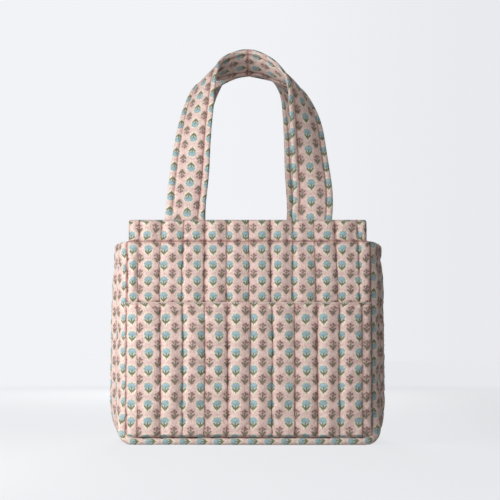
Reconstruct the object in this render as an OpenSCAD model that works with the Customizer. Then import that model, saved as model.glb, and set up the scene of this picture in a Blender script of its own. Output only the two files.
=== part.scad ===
// Quilted knitting bag: a soft upright tote with a full-width front pocket and two padded handles.
// The front faces -Y, up is +Z, and the origin is the middle of the base, on the floor.

/* [Body] */
// Width of the front and back panels between their side seams
panel_w = 294; // [240:1:400]
// Height of the top edge of the panels above the floor
panel_top = 270; // [220:1:360]
// Depth of the bag between the ditches of the front and back panels
body_d = 140; // [100:1:200]
// Height of the bottom seam above the floor
seam_lift = 9; // [6:0.5:12]
// Radius of the bottom corners of the panels
corner_r = 14; // [10:1:40]
// Height of the free top band of the panels above the top of the sides
band_h = 26; // [20:1:36]
// How much narrower the top band is than the panel below it
band_inset = 7; // [2:0.5:16]
// How far the sides swell out beyond the side seams
side_bulge = 20; // [5:0.5:30]

/* [Quilting] */
// Spacing of the sewn rows on the front and back panels
panel_pitch = 26.1; // [18:0.1:36]
// Height of the padded channels above the sewn rows
puff = 2.5; // [1:0.1:4]
// Number of channels across the sides and base
side_channels = 5; // [3:2:7]
// Depth of the sewn rows under the base, where the channels are pressed flat
base_groove = 1; // [0.8:0.1:1.5]
// Diameter of the sewing thread
thread_d = 0.6; // [0.4:0.1:0.8]

/* [Cloth] */
// Thickness of the printed outer cloth
cover_t = 0.8; // [0.5:0.1:1.2]
// Thickness of the wadding at the sewn rows
wadding_t = 1.8; // [1:0.1:4]
// Thickness of the lining cloth
lining_t = 0.8; // [0.5:0.1:1.2]
// Thickness of the folded hems inside the top edges
hem_t = 4.2; // [3.4:0.1:6]
// Depth of the folded hems inside the top of the sides
side_hem_h = 20; // [12:1:30]
// Width of the tape that binds the inner seams
binding_w = 8; // [5:0.5:12]
// Thickness of the bound seam edges
binding_t = 2; // [1:0.5:3]

/* [Pocket] */
// Height of the pocket's top edge above the floor
pocket_top = 170; // [100:1:220]
// Spacing of the sewn rows on the pocket
pocket_pitch = 26.7; // [18:0.1:36]
// Free space between the pocket and the front panel
pocket_gap = 6; // [5:0.5:20]
// Distance over which the pocket comes forward from its side seams
pocket_rise = 16; // [10:1:30]
// Distance of the edge stitching below the pocket's top edge
edge_stitch = 2.4; // [1.5:0.1:5]

/* [Handles] */
// Width of the padded strap
strap_w = 46; // [36:1:56]
// Thickness of the strap in the middle
strap_t = 8; // [5:0.5:10]
// Width of the roll outside each line of topstitching
roll_w = 7; // [5:0.5:9]
// Thickness of that roll
roll_t = 5.4; // [4:0.2:7]
// Thickness of the strap at the topstitching
stitch_t = 3; // [2.6:0.1:4]
// Distance of each strap end's middle from the middle of the bag
foot_x = 77.5; // [60:0.5:100]
// Height of the middle of the strap above the panels at the top of its arch
handle_rise = 204; // [150:1:260]
// Tilt of the strap from level at the top of its arch, with the outer edge up
arch_tilt = 28; // [10:1:40]
// Thickness of the flattened strap ends under the hem
end_t = 3; // [2:0.2:4]

/* [Hidden] */
// Clearance between layers of one piece of cloth
layer_gap = 0.1;
// Clearance between a handle and what it moves against
rest_gap = 0.3;
// Points across one padded channel, and sides of a swept thread
channel_steps = 5;
thread_sides = 4;
// Steps round a quarter of the gusset's corner, and between two points of the strap's route
corner_steps = 6;
route_steps = 2;
$fn = 32;

half_w = panel_w / 2;
half_d = body_d / 2;
thread_r = thread_d / 2;
side_top = panel_top - band_h;
quilt_t = cover_t + wadding_t + lining_t + 2 * layer_gap;
panel_front = half_d + puff;
panel_back = half_d - quilt_t;
gusset_edge = panel_back - rest_gap;
side_pitch = 2 * gusset_edge / side_channels;
base_flat = side_pitch * (side_channels / 2 - 1);
pocket_back = panel_front + rest_gap;
root_z = panel_top + rest_gap;
strap_back = panel_back - layer_gap - end_t / 2;
half_strap = strap_w / 2;
face_half = half_strap - roll_w;

// The strap's route from its foot to the top of the arch. Each row holds the share of foot_x, the
// share of the lean towards the middle of the bag, the share of handle_rise, and of the twist.
ROUTE = [
    [1.00, 0.00, 0.00, 0.00],
    [0.98, 0.03, 0.21, 0.06],
    [0.93, 0.10, 0.42, 0.19],
    [0.87, 0.24, 0.62, 0.32],
    [0.76, 0.44, 0.80, 0.51],
    [0.66, 0.60, 0.90, 0.66],
    [0.51, 0.79, 0.95, 0.86],
    [0.28, 0.94, 0.98, 0.97],
    [0.00, 1.00, 1.00, 1.00],
];

PRINT = "#d9bfb5";
LINING = "#efe3da";
WADDING = "#f7f4ee";
THREAD = "#c9a79c";
TAPE = "#e3cbbf";

// ---- Common shapes ----

// A padded channel's height at the share t across it
function swell(t) = pow(max(sin(180 * t), 0), 0.7);

// Places of the sewn rows that lie at least a third of a channel inside a width
function rows(width, pitch) =
    let (count = floor((width / 2 - pitch / 3) / pitch))
    [for (k = [-count : count]) k * pitch];

// Channel edges from side seam to side seam
function edges(width, pitch) = concat([-width / 2], rows(width, pitch), [width / 2]);

// Points [x, height] along a row of padded channels
function scallop(width, pitch, height) =
    let (e = edges(width, pitch))
    concat(
        [for (i = [0 : len(e) - 2])
            let (span = (e[i + 1] - e[i]) / pitch)
            for (k = [0 : channel_steps - 1])
                let (t = k / channel_steps)
                [e[i] + t * (e[i + 1] - e[i]), height * min(span, 1) * swell(t)]],
        [[width / 2, 0]]
    );

// A closed solid through a list of rings with as many points each
module skin(rings) {
    n = len(rings[0]);
    last = len(rings) - 1;
    points = [for (ring = rings) for (p = ring) p];
    walls = [
        for (i = [0 : last - 1])
            for (j = [0 : n - 1])
                let (a = i * n + j, b = i * n + (j + 1) % n)
                for (face = [[a, b + n, b], [a, a + n, b + n]]) face
    ];
    start = [for (j = [0 : n - 1]) j];
    end = [for (j = [0 : n - 1]) last * n + n - 1 - j];
    polyhedron(points, concat(walls, [start, end]), convexity = 6);
}

// Outline of a panel in X and Z, with its bottom corners rounded and its free top band narrower
module panel_outline(top) {
    module lower(height) {
        translate([-half_w, seam_lift + corner_r]) square([panel_w, height - seam_lift - corner_r]);
        translate([corner_r - half_w, seam_lift]) square([panel_w - 2 * corner_r, corner_r * 2]);
        for (side = [-1, 1])
            translate([side * (half_w - corner_r), seam_lift + corner_r]) circle(corner_r);
    }
    lower(min(top, side_top));
    if (top > side_top)
        translate([band_inset / 2 - half_w, seam_lift + corner_r])
            square([panel_w - band_inset, top - seam_lift - corner_r]);
}

// Keeps what lies inside the panel's outline, on the front of the bag
module trimmed(top) {
    intersection() {
        children();
        translate([0, body_d, 0])
            rotate([90, 0, 0])
                linear_extrude(4 * body_d) panel_outline(top);
    }
}

// Plan shape between two lines of [x, depth] points, measured forwards from the bag's middle
module plan_band(outer, inner) {
    polygon(concat(
        [for (p = outer) [p[0], -p[1]]],
        [for (i = [len(inner) - 1 : -1 : 0]) [inner[i][0], -inner[i][1]]]
    ));
}

function raised(points, depth) = [for (p = points) [p[0], p[1] + depth]];
function flat_line(depth) = [[-half_w, depth], [half_w, depth]];

// ---- Front and back panels, drawn as the front ----

PANEL_LINE = raised(scallop(panel_w, panel_pitch, puff), half_d);

module panel_cover() {
    trimmed(panel_top) {
        linear_extrude(panel_top) plan_band(PANEL_LINE, raised(PANEL_LINE, -cover_t));
        translate([0, 0, panel_top - cover_t])
            linear_extrude(cover_t)
                plan_band(PANEL_LINE, flat_line(panel_back + lining_t + layer_gap));
    }
}

module panel_wadding() {
    trimmed(panel_top - cover_t - layer_gap)
        linear_extrude(panel_top)
            plan_band(
                raised(PANEL_LINE, -cover_t - layer_gap),
                flat_line(panel_back + lining_t + layer_gap)
            );
}

module panel_lining() {
    trimmed(panel_top)
        linear_extrude(panel_top)
            plan_band(flat_line(panel_back + lining_t), flat_line(panel_back));
}

module strap_end(side, clear) {
    translate([
        side * foot_x - half_strap - clear,
        -panel_back + layer_gap - clear,
        side_top + layer_gap * 2 - clear
    ])
        cube([strap_w + 2 * clear, end_t + 2 * clear, band_h - layer_gap * 2 + 2 * clear]);
}

module panel_hem() {
    difference() {
        translate([band_inset - half_w, layer_gap - panel_back, side_top + layer_gap])
            cube([panel_w - 2 * band_inset, hem_t, band_h - layer_gap]);
        for (side = [-1, 1]) strap_end(side, layer_gap);
    }
}

module strap_ends() {
    for (side = [-1, 1]) strap_end(side, 0);
}

module panel_threads(low, high) {
    for (x = rows(panel_w, panel_pitch))
        translate([x, -half_d - thread_r - layer_gap / 2, low])
            cylinder(h = high - low, r = thread_r, $fn = 16);
}

module hem_thread() {
    translate([-half_w + band_inset, -panel_front - thread_r, side_top])
        rotate([0, 90, 0])
            cylinder(h = panel_w - 2 * band_inset, r = thread_r, $fn = 16);
}

// ---- Gusset: one strip up the left side, along the base and up the right side ----

// A station along the strip: [x, z, outward x, outward z, share of the base shape]
function gusset_side(side, z) = [side * half_w, z, side, 0, 0];

function gusset_corner(side, turn) = [
    side * (half_w - corner_r + corner_r * cos(turn)),
    seam_lift + corner_r - corner_r * sin(turn),
    side * cos(turn),
    -sin(turn),
    1 - pow(cos(turn), 3)
];

// The side stretches end where the corners start, and the base takes in both corners
LEFT_STATIONS = [gusset_side(-1, side_top), gusset_corner(-1, 0)];
RIGHT_STATIONS = [gusset_corner(1, 0), gusset_side(1, side_top)];
BASE_STATIONS = concat(
    [for (i = [0 : corner_steps]) gusset_corner(-1, 90 * i / corner_steps)],
    [for (i = [corner_steps : -1 : 0]) gusset_corner(1, 90 * i / corner_steps)]
);

// How far the sewn rows stand out from the seam line at the depth y
function swell_out(y, base) =
    let (bow = 1 - pow(y / half_d, 2), flat = 1 - pow(base_flat / half_d, 2))
    (1 - base) * side_bulge * bow + base * ((seam_lift - base_groove) * min(1, bow / flat));

// Height of the padding above the sewn rows
function padding(t, base) =
    (1 - base) * puff * swell(t) + base * base_groove * min(1, 2 * sin(180 * t));

// Points [y, out] across the strip, at a depth below its outer face, padded or smooth
function gusset_line(base, depth, padded) =
    [for (i = [0 : side_channels * channel_steps])
        let (
            y = -gusset_edge + i * side_pitch / channel_steps,
            t = (i % channel_steps) / channel_steps
        )
        [y, swell_out(y, base) - depth + (padded ? padding(t, base) : 0)]];

function placed(s, p) = [s[0] + s[2] * p[1], p[0], s[1] + s[3] * p[1]];

function gusset_ring(s, outer, outer_padded, inner, inner_padded) =
    let (
        a = gusset_line(s[4], outer, outer_padded),
        b = gusset_line(s[4], inner, inner_padded)
    )
    concat(
        [for (p = a) placed(s, p)],
        [for (i = [len(b) - 1 : -1 : 0]) placed(s, b[i])]
    );

module gusset_layer(stations, outer, outer_padded, inner, inner_padded) {
    skin([for (s = stations) gusset_ring(s, outer, outer_padded, inner, inner_padded)]);
}

module gusset_cover(stations) {
    gusset_layer(stations, 0, true, cover_t, true);
}

module gusset_wadding(stations) {
    gusset_layer(stations, cover_t + layer_gap, true, quilt_t - lining_t - layer_gap, false);
}

module gusset_lining(stations) {
    gusset_layer(stations, quilt_t - lining_t, false, quilt_t, false);
}

// The sewn rows run from the stitching of one folded edge to the other
module gusset_quilting() {
    top = side_top - side_hem_h - thread_d;
    stations = concat([gusset_side(-1, top)], BASE_STATIONS, [gusset_side(1, top)]);
    color(THREAD)
        for (row = [1 : side_channels - 1])
            let (y = -gusset_edge + row * side_pitch)
            skin([
                for (s = stations)
                    [for (k = [0 : thread_sides - 1])
                        let (a = 360 * (k + 0.5) / thread_sides)
                        placed(s, [
                            y - thread_r * cos(a),
                            swell_out(y, s[4]) + thread_r + layer_gap / 2 + thread_r * sin(a)
                        ])]
            ]);
}

// Folded edge inside the top of one side
module side_hem(side) {
    line = gusset_line(0, quilt_t + layer_gap, false);
    outer = [for (p = line) [side * (half_w + p[1]), p[0]]];
    inner = [for (i = [len(line) - 1 : -1 : 0]) [side * (half_w + line[i][1] - hem_t), line[i][0]]];
    translate([0, 0, side_top - side_hem_h])
        linear_extrude(side_hem_h) polygon(concat(outer, inner));
}

module side_hem_stitch() {
    line = gusset_line(0, -thread_r - layer_gap / 2, true);
    color(THREAD)
        for (side = [-1, 1])
            skin([
                for (p = side > 0 ? line : [for (i = [len(line) - 1 : -1 : 0]) line[i]])
                    [for (k = [0 : thread_sides - 1])
                        let (a = 360 * (k + 0.5) / thread_sides)
                        [
                            side * (half_w + p[1] + thread_r * cos(a)),
                            p[0],
                            side_top - side_hem_h - thread_r * sin(a)
                        ]]
            ]);
}

// Bound seam edge inside the front, as a band along the side and bottom seams
module seam_binding() {
    edge_out = swell_out(gusset_edge, 0) - quilt_t - layer_gap;
    edge_low = swell_out(gusset_edge, 1) - quilt_t - layer_gap;
    top = side_top - side_hem_h - rest_gap;
    module band(inset) {
        low = seam_lift - edge_low + inset;
        wide = half_w + edge_out - inset;
        round_r = max(corner_r - inset, 4);
        translate([-wide, low + round_r]) square([2 * wide, top - low - round_r + inset]);
        translate([round_r - wide, low]) square([2 * (wide - round_r), 2 * round_r]);
        for (side = [-1, 1])
            translate([side * (wide - round_r), low + round_r]) circle(round_r);
    }
    translate([0, binding_w - gusset_edge, 0])
        rotate([90, 0, 0])
            linear_extrude(binding_w)
                difference() {
                    intersection() {
                        band(0);
                        translate([-panel_w, 0]) square([2 * panel_w, top]);
                    }
                    band(binding_t);
                }
}

// ---- Pocket ----

// Forward distance of the pocket's back face at x
function stand_off(x) = pocket_gap * sqrt(min(1, max(0, half_w - abs(x)) / pocket_rise));

POCKET_CREST = scallop(panel_w, pocket_pitch, puff);
POCKET_BACK = [for (p = POCKET_CREST) [p[0], pocket_back + stand_off(p[0])]];
POCKET_FRONT = [for (p = POCKET_CREST) [p[0], pocket_back + stand_off(p[0]) + quilt_t + p[1]]];

module pocket_cover() {
    color(PRINT)
        trimmed(pocket_top) {
            linear_extrude(pocket_top) plan_band(POCKET_FRONT, raised(POCKET_FRONT, -cover_t));
            translate([0, 0, pocket_top - cover_t])
                linear_extrude(cover_t)
                    plan_band(POCKET_FRONT, raised(POCKET_BACK, lining_t + layer_gap));
        }
}

module pocket_wadding() {
    color(WADDING)
        trimmed(pocket_top - cover_t - layer_gap)
            linear_extrude(pocket_top)
                plan_band(
                    raised(POCKET_FRONT, -cover_t - layer_gap),
                    raised(POCKET_BACK, lining_t + layer_gap)
                );
}

// The lining turns in at the bottom seam and closes the pocket there
module pocket_lining() {
    color(LINING)
        trimmed(pocket_top) {
            linear_extrude(pocket_top) plan_band(raised(POCKET_BACK, lining_t), POCKET_BACK);
            linear_extrude(seam_lift + lining_t)
                plan_band(raised(POCKET_BACK, lining_t), flat_line(pocket_back - layer_gap));
        }
}

module pocket_quilting() {
    color(THREAD)
        for (x = rows(panel_w, pocket_pitch))
            translate([
                x,
                -(pocket_back + stand_off(x) + quilt_t + thread_r + layer_gap / 2),
                seam_lift + edge_stitch
            ])
                cylinder(h = pocket_top - seam_lift - 2 * edge_stitch, r = thread_r, $fn = 16);
}

module pocket_edge_stitch() {
    reach = half_w - pocket_rise;
    color(THREAD)
        translate([
            -reach,
            -(pocket_back + pocket_gap + quilt_t + puff + thread_r),
            pocket_top - edge_stitch + thread_r
        ])
            rotate([0, 90, 0])
                cylinder(h = 2 * reach, r = thread_r, $fn = 16);
}

// ---- Handles, drawn as the front one ----

// Half thickness of the strap at the distance u from its middle
function half_thickness(u) =
    let (a = abs(u), roll = (a - face_half - roll_w / 2) / (roll_w / 2))
    a <= face_half
        ? stitch_t / 2 + (strap_t - stitch_t) / 2 * pow(cos(90 * a / face_half), 0.6)
        : max(roll < 0 ? stitch_t / 2 : 0, roll_t / 2 * sqrt(max(0, 1 - roll * roll)));

// Distances across the strap where its section has a point
ACROSS = [
    half_strap - roll_w * 0.1, half_strap - roll_w / 2, face_half, face_half * 0.65, 0,
    -face_half * 0.65, -face_half, roll_w / 2 - half_strap, roll_w * 0.1 - half_strap,
];

// Closed section [across, out], set in by a cloth thickness
function strap_section(set_in) =
    let (
        narrow = 1 - set_in / half_strap,
        side = [for (u = ACROSS) [u * narrow, half_thickness(u) - set_in]]
    )
    concat(
        [[half_strap * narrow, 0]],
        side,
        [[-half_strap * narrow, 0]],
        [for (i = [len(side) - 1 : -1 : 0]) [side[i][0], -side[i][1]]]
    );

// The strap leans in until its far edge meets the other handle over the middle of the bag
arch_back = rest_gap / 2
    + max([for (p = strap_section(0)) p[0] * cos(arch_tilt) + p[1] * sin(arch_tilt)]);
lean_run = strap_back - arch_back;
lean_angle = atan2(lean_run, handle_rise);
arch_twist = 90 + arch_tilt - lean_angle;
LEAN_NORMAL = [0, -cos(lean_angle), sin(lean_angle)];

function route_point(i) =
    let (last = len(ROUTE) - 1, row = ROUTE[last - abs(i - last)])
    [
        (i <= last ? -1 : 1) * row[0] * foot_x,
        -strap_back + row[1] * lean_run,
        root_z + row[2] * (handle_rise - rest_gap),
        row[3] * arch_twist
    ];

// Smooth curve through the route's points, at the step k of the whole strap
function route_at(k) =
    let (
        count = 2 * len(ROUTE) - 1,
        i = min(floor(k / route_steps), count - 2),
        t = k / route_steps - i,
        p1 = route_point(i),
        p2 = route_point(i + 1),
        p0 = i > 0 ? route_point(i - 1) : 2 * p1 - p2,
        p3 = i < count - 2 ? route_point(i + 2) : 2 * p2 - p1
    )
    0.5 * (2 * p1 + (p2 - p0) * t + (2 * p0 - 5 * p1 + 4 * p2 - p3) * t * t
        + (3 * p1 - p0 - 3 * p2 + p3) * t * t * t);

route_end = (2 * len(ROUTE) - 2) * route_steps;

function unit(v) = v / norm(v);
function place(v) = [v[0], v[1], v[2]];

// Frame at the step k: [centre, direction across the strap, direction out of its face]
function strap_frame(k) =
    let (
        here = route_at(k),
        ahead = place(route_at(min(k + 0.5, route_end)) - route_at(max(k - 0.5, 0))),
        t = k == 0 ? [0, 0, 1] : k == route_end ? [0, 0, -1] : unit(ahead),
        inward = cross(t, LEAN_NORMAL),
        raw = cos(here[3]) * unit(inward) + sin(here[3]) * LEAN_NORMAL,
        across = unit(raw - (raw * t) * t)
    )
    [place(here), across, cross(t, across)];

function strap_ring(k, section) =
    let (f = strap_frame(k))
    [for (p = section) f[0] + p[0] * f[1] + p[1] * f[2]];

function strap_rings(section) = [for (k = [0 : route_end]) strap_ring(k, section)];

// A tube of cloth round the strap, open at its two ends
module strap_cover() {
    outer = strap_rings(strap_section(0));
    inner = strap_rings(strap_section(cover_t));
    n = len(outer[0]);
    last = route_end;
    shift = (last + 1) * n;
    points = concat([for (r = outer) for (p = r) p], [for (r = inner) for (p = r) p]);
    walls = [
        for (i = [0 : last - 1])
            for (j = [0 : n - 1])
                let (a = i * n + j, b = i * n + (j + 1) % n)
                for (face = [
                    [a, b + n, b],
                    [a, a + n, b + n],
                    [shift + a, shift + b, shift + b + n],
                    [shift + a, shift + b + n, shift + a + n]
                ]) face
    ];
    rims = [
        for (j = [0 : n - 1])
            let (k = (j + 1) % n, a = last * n + j, b = last * n + k)
            for (face = [
                [j, shift + k, shift + j],
                [j, k, shift + k],
                [a, shift + b, b],
                [a, shift + a, shift + b]
            ]) face
    ];
    polyhedron(points, concat(walls, rims), convexity = 8);
}

module strap_padding() {
    skin(strap_rings(strap_section(cover_t + layer_gap)));
}

// Four lines of thread: both stitch lines, seen on both faces
module strap_threads() {
    for (edge = [-1, 1], face = [-1, 1])
        skin([
            for (k = [0 : route_end])
                strap_ring(k, [
                    for (i = [0 : thread_sides - 1])
                        let (a = 360 * (i + 0.5) / thread_sides)
                        [
                            edge * face_half + thread_r * cos(a),
                            face * (stitch_t / 2 + thread_r + layer_gap / 2) + thread_r * sin(a)
                        ]
                ])
        ]);
}

// ---- Nodes ----

module at_back() {
    rotate([0, 0, 180]) children();
}

module front_cover() { color(PRINT) panel_cover(); }
module front_wadding() { color(WADDING) panel_wadding(); }
module front_lining() { color(LINING) panel_lining(); }
module front_hem() { color(PRINT) panel_hem(); }
module back_cover() { color(PRINT) at_back() panel_cover(); }
module back_wadding() { color(WADDING) at_back() panel_wadding(); }
module back_lining() { color(LINING) at_back() panel_lining(); }
module back_hem() { color(PRINT) at_back() panel_hem(); }
module left_side_cover() { color(PRINT) gusset_cover(LEFT_STATIONS); }
module left_side_wadding() { color(WADDING) gusset_wadding(LEFT_STATIONS); }
module left_side_lining() { color(LINING) gusset_lining(LEFT_STATIONS); }
module left_hem() { color(PRINT) side_hem(-1); }
module right_side_cover() { color(PRINT) gusset_cover(RIGHT_STATIONS); }
module right_side_wadding() { color(WADDING) gusset_wadding(RIGHT_STATIONS); }
module right_side_lining() { color(LINING) gusset_lining(RIGHT_STATIONS); }
module right_hem() { color(PRINT) side_hem(1); }
module base_cover() { color(PRINT) gusset_cover(BASE_STATIONS); }
module base_wadding() { color(WADDING) gusset_wadding(BASE_STATIONS); }
module base_lining() { color(LINING) gusset_lining(BASE_STATIONS); }
module front_seam_binding() { color(TAPE) seam_binding(); }
module back_seam_binding() { color(TAPE) at_back() seam_binding(); }
module front_handle_ends() { color(PRINT) strap_ends(); }
module back_handle_ends() { color(PRINT) at_back() strap_ends(); }
module front_handle_cover() { color(PRINT) strap_cover(); }
module front_handle_padding() { color(WADDING) strap_padding(); }
module front_handle_topstitch() { color(THREAD) strap_threads(); }
module back_handle_cover() { color(PRINT) at_back() strap_cover(); }
module back_handle_padding() { color(WADDING) at_back() strap_padding(); }
module back_handle_topstitch() { color(THREAD) at_back() strap_threads(); }
module front_quilting() {
    color(THREAD) panel_threads(seam_lift + thread_d, side_top - thread_d);
}
module back_quilting() {
    color(THREAD) at_back() panel_threads(seam_lift + thread_d, side_top - thread_d);
}
module front_hem_stitch() { color(THREAD) hem_thread(); }
module back_hem_stitch() { color(THREAD) at_back() hem_thread(); }

front_cover();
front_wadding();
front_lining();
front_hem();
back_cover();
back_wadding();
back_lining();
back_hem();
left_side_cover();
left_side_wadding();
left_side_lining();
left_hem();
right_side_cover();
right_side_wadding();
right_side_lining();
right_hem();
base_cover();
base_wadding();
base_lining();
pocket_cover();
pocket_wadding();
pocket_lining();
front_seam_binding();
back_seam_binding();
front_handle_ends();
back_handle_ends();
front_handle_cover();
front_handle_padding();
front_handle_topstitch();
back_handle_cover();
back_handle_padding();
back_handle_topstitch();
front_quilting();
back_quilting();
pocket_quilting();
gusset_quilting();
front_hem_stitch();
back_hem_stitch();
side_hem_stitch();
pocket_edge_stitch();
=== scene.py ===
"""Quilted knitting bag: an upright tote of printed cotton with a full-width pocket and two straps."""

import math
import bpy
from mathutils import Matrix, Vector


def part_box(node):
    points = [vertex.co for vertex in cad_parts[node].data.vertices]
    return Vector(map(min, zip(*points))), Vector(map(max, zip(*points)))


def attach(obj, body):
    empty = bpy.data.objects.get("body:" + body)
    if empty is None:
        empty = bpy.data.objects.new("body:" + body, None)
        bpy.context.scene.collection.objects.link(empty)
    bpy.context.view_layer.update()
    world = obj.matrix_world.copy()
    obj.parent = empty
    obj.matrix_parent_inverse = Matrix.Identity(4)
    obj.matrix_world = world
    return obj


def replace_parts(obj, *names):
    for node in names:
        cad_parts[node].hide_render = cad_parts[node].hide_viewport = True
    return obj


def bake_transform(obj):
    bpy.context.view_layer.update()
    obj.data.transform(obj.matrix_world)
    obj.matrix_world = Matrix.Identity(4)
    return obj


bl_info = {
    "name": "Quilted knitting bag",
    "version": (1, 0, 0),
    "blender": (4, 5, 0),
    "location": "3D View > Sidebar > Knitting bag",
    "description": "Builds the quilted cloth, the straps, the stitching and the stage of a knitting bag",
    "category": "Add Mesh",
}

import bpy
import numpy as np
from mathutils import Vector


def clear_startup():
    """Removes the objects that a new Blender scene starts with."""
    for name in ("Cube", "Light", "Camera"):
        if name in bpy.data.objects:
            bpy.data.objects.remove(bpy.data.objects[name])


clear_startup()
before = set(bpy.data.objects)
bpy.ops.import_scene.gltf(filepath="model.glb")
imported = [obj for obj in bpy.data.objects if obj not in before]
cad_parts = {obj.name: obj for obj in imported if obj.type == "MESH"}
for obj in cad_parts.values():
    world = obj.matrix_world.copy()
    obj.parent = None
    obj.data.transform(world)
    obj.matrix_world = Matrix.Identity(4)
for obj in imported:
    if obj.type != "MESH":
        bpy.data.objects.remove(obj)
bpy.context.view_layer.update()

MM = 0.001
FRONT, BACK = 1, -1
SIDES = ((FRONT, "front"), (BACK, "back"))
ROW_WIDTH = 1.0 * MM
CHANNEL_STEPS = 12
LINING_STEPS = 8
ON_ROW = 0.01 * MM
LEVEL_STEP = 2.2 * MM
BOTTOM_ROUND = 4 * MM
SIDE_ROUND = 3.5 * MM


def low(node):
    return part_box(node)[0]


def high(node):
    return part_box(node)[1]


# ---- Places taken from the frame ----

HALF_WIDTH = high("front_cover").x
SEAM_Z = low("front_cover").z
PANEL_TOP = high("front_cover").z
SIDE_TOP = high("left_side_cover").z
CREST_Y = -low("front_cover").y
INNER_Y = -high("front_lining").y
COVER_BACK_Y = -high("front_cover").y
GUSSET_EDGE_Y = high("left_side_cover").y
SIDE_OUT = high("right_side_cover").x - HALF_WIDTH
POCKET_TOP = high("pocket_cover").z
SIDE_HEM_LOW = low("left_hem").z


# ---- Settings ----


def size_setting(name, description, millimetres):
    return bpy.props.FloatProperty(
        name=name, description=description, default=millimetres * MM, unit="LENGTH"
    )


def colour_setting(name, description, red, green, blue):
    return bpy.props.FloatVectorProperty(
        name=name, description=description, default=(red, green, blue, 1.0), size=4, subtype="COLOR"
    )


class BagSettings(bpy.types.PropertyGroup):
    """Sizes and colours of the cloth, the quilting and the thread"""

    panel_pitch: size_setting("Panel rows", "Spacing of the sewn rows on the panels", 26.1)
    pocket_pitch: size_setting("Pocket rows", "Spacing of the sewn rows on the pocket", 26.7)
    puff: size_setting("Padding", "Height of a padded channel above its sewn rows", 3.2)
    pressure: bpy.props.FloatProperty(
        name="Pressure", description="How hard the padding presses the cloth outwards", default=4.0
    )
    swelling: size_setting("Swelling", "The most that the cloth moves while it settles", 1.6)
    column_spacing: size_setting("Print columns", "Distance between two columns of blue flowers", 21.4)
    repeat: size_setting("Print repeat", "Distance between two flowers in a column", 20.45)
    stitch_length: size_setting("Stitch", "Length of one stitch and the gap after it", 3.0)
    thread: size_setting("Thread", "Diameter of the sewing thread", 0.5)
    ground: colour_setting("Ground", "Colour of the printed cloth", 0.765, 0.60, 0.565)
    shadow: colour_setting("Shadow", "Darker pink behind the small sprigs", 0.57, 0.39, 0.35)
    halo: colour_setting("Halo", "Cream edging round the blue flowers", 0.84, 0.77, 0.63)
    petal: colour_setting("Petals", "Blue of the flowers", 0.36, 0.53, 0.64)
    petal_edge: colour_setting("Petal edge", "Aqua at the edge of the petals", 0.23, 0.43, 0.39)
    leaf: colour_setting("Leaves", "Green of the leaves", 0.075, 0.125, 0.05)
    sprig: colour_setting("Sprigs", "Grey green of the small sprigs", 0.08, 0.1, 0.05)
    berry: colour_setting("Berries", "Brown mauve of the small dots", 0.12, 0.06, 0.055)
    lining: colour_setting("Lining", "Colour of the plain lining", 0.74, 0.58, 0.51)
    thread_colour: colour_setting("Thread colour", "Colour of the stitches", 0.50, 0.25, 0.215)
    stage_colour: colour_setting("Stage", "Colour of the floor and the backdrop", 0.885, 0.895, 0.925)


def settings():
    return bpy.context.scene.knitting_bag


# ---- Node helpers ----


class Graph:
    """Adds nodes to a tree and links them."""

    def __init__(self, tree):
        self.tree = tree

    def node(self, kind, inputs=None, **values):
        made = self.tree.nodes.new(kind)
        for key, value in values.items():
            setattr(made, key, value)
        for key, value in (inputs or {}).items():
            self.feed(made.inputs[key], value)
        return made

    def feed(self, socket, value):
        if isinstance(value, bpy.types.NodeSocket):
            self.tree.links.new(value, socket)
        else:
            socket.default_value = value

    def math(self, operation, *values):
        return self.node("ShaderNodeMath", dict(enumerate(values)), operation=operation).outputs[0]

    def vector(self, operation, *values):
        made = self.node("ShaderNodeVectorMath", dict(enumerate(values)), operation=operation)
        return made.outputs["Value" if operation == "LENGTH" else "Vector"]

    def product(self, result, *values):
        for value in values:
            result = self.math("MULTIPLY", result, value)
        return result

    def highest(self, values):
        result = values[0]
        for value in values[1:]:
            result = self.math("MAXIMUM", result, value)
        return result

    def part(self, vector, axis):
        return self.node("ShaderNodeSeparateXYZ", {"Vector": vector}).outputs[axis]

    def noise(self, place, scale, detail, output="Fac"):
        inputs = {"Vector": place, "Scale": scale, "Detail": detail}
        return self.node("ShaderNodeTexNoise", inputs).outputs[output]

    def ramp(self, value, start, end):
        """0 at start and 1 at end, rising smoothly, whichever of the two is the lower."""
        inputs = {"Value": value, "From Min": start, "From Max": end}
        return self.node("ShaderNodeMapRange", inputs, interpolation_type="SMOOTHSTEP").outputs["Result"]

    def blend(self, factor, first, second, mode="MIX"):
        made = self.node("ShaderNodeMix", data_type="RGBA", blend_type=mode)
        for index, value in ((0, factor), (6, first), (7, second)):
            self.feed(made.inputs[index], value)
        return made.outputs[2]

    def bump(self, height, distance, strength, **inputs):
        inputs.update({"Height": height, "Distance": distance, "Strength": strength})
        return self.node("ShaderNodeBump", inputs).outputs["Normal"]

    def spot(self, place, centre, radii, soft, turn=0.0):
        """1 inside an ellipse, in millimetres, and 0 outside it."""
        local = self.node("ShaderNodeMapping", {"Vector": place}, vector_type="TEXTURE")
        local.inputs["Location"].default_value = (*centre, 0)
        local.inputs["Rotation"].default_value = (0, 0, math.radians(turn))
        local.inputs["Scale"].default_value = (*radii, 1)
        reach = self.vector("LENGTH", local.outputs["Vector"])
        return self.ramp(reach, 1 + soft, 1 - soft)

    def shared(self, group, place):
        """The outputs of a shared node group at a place."""
        return self.node("ShaderNodeGroup", {"Vector": place}, node_tree=group).outputs


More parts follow.
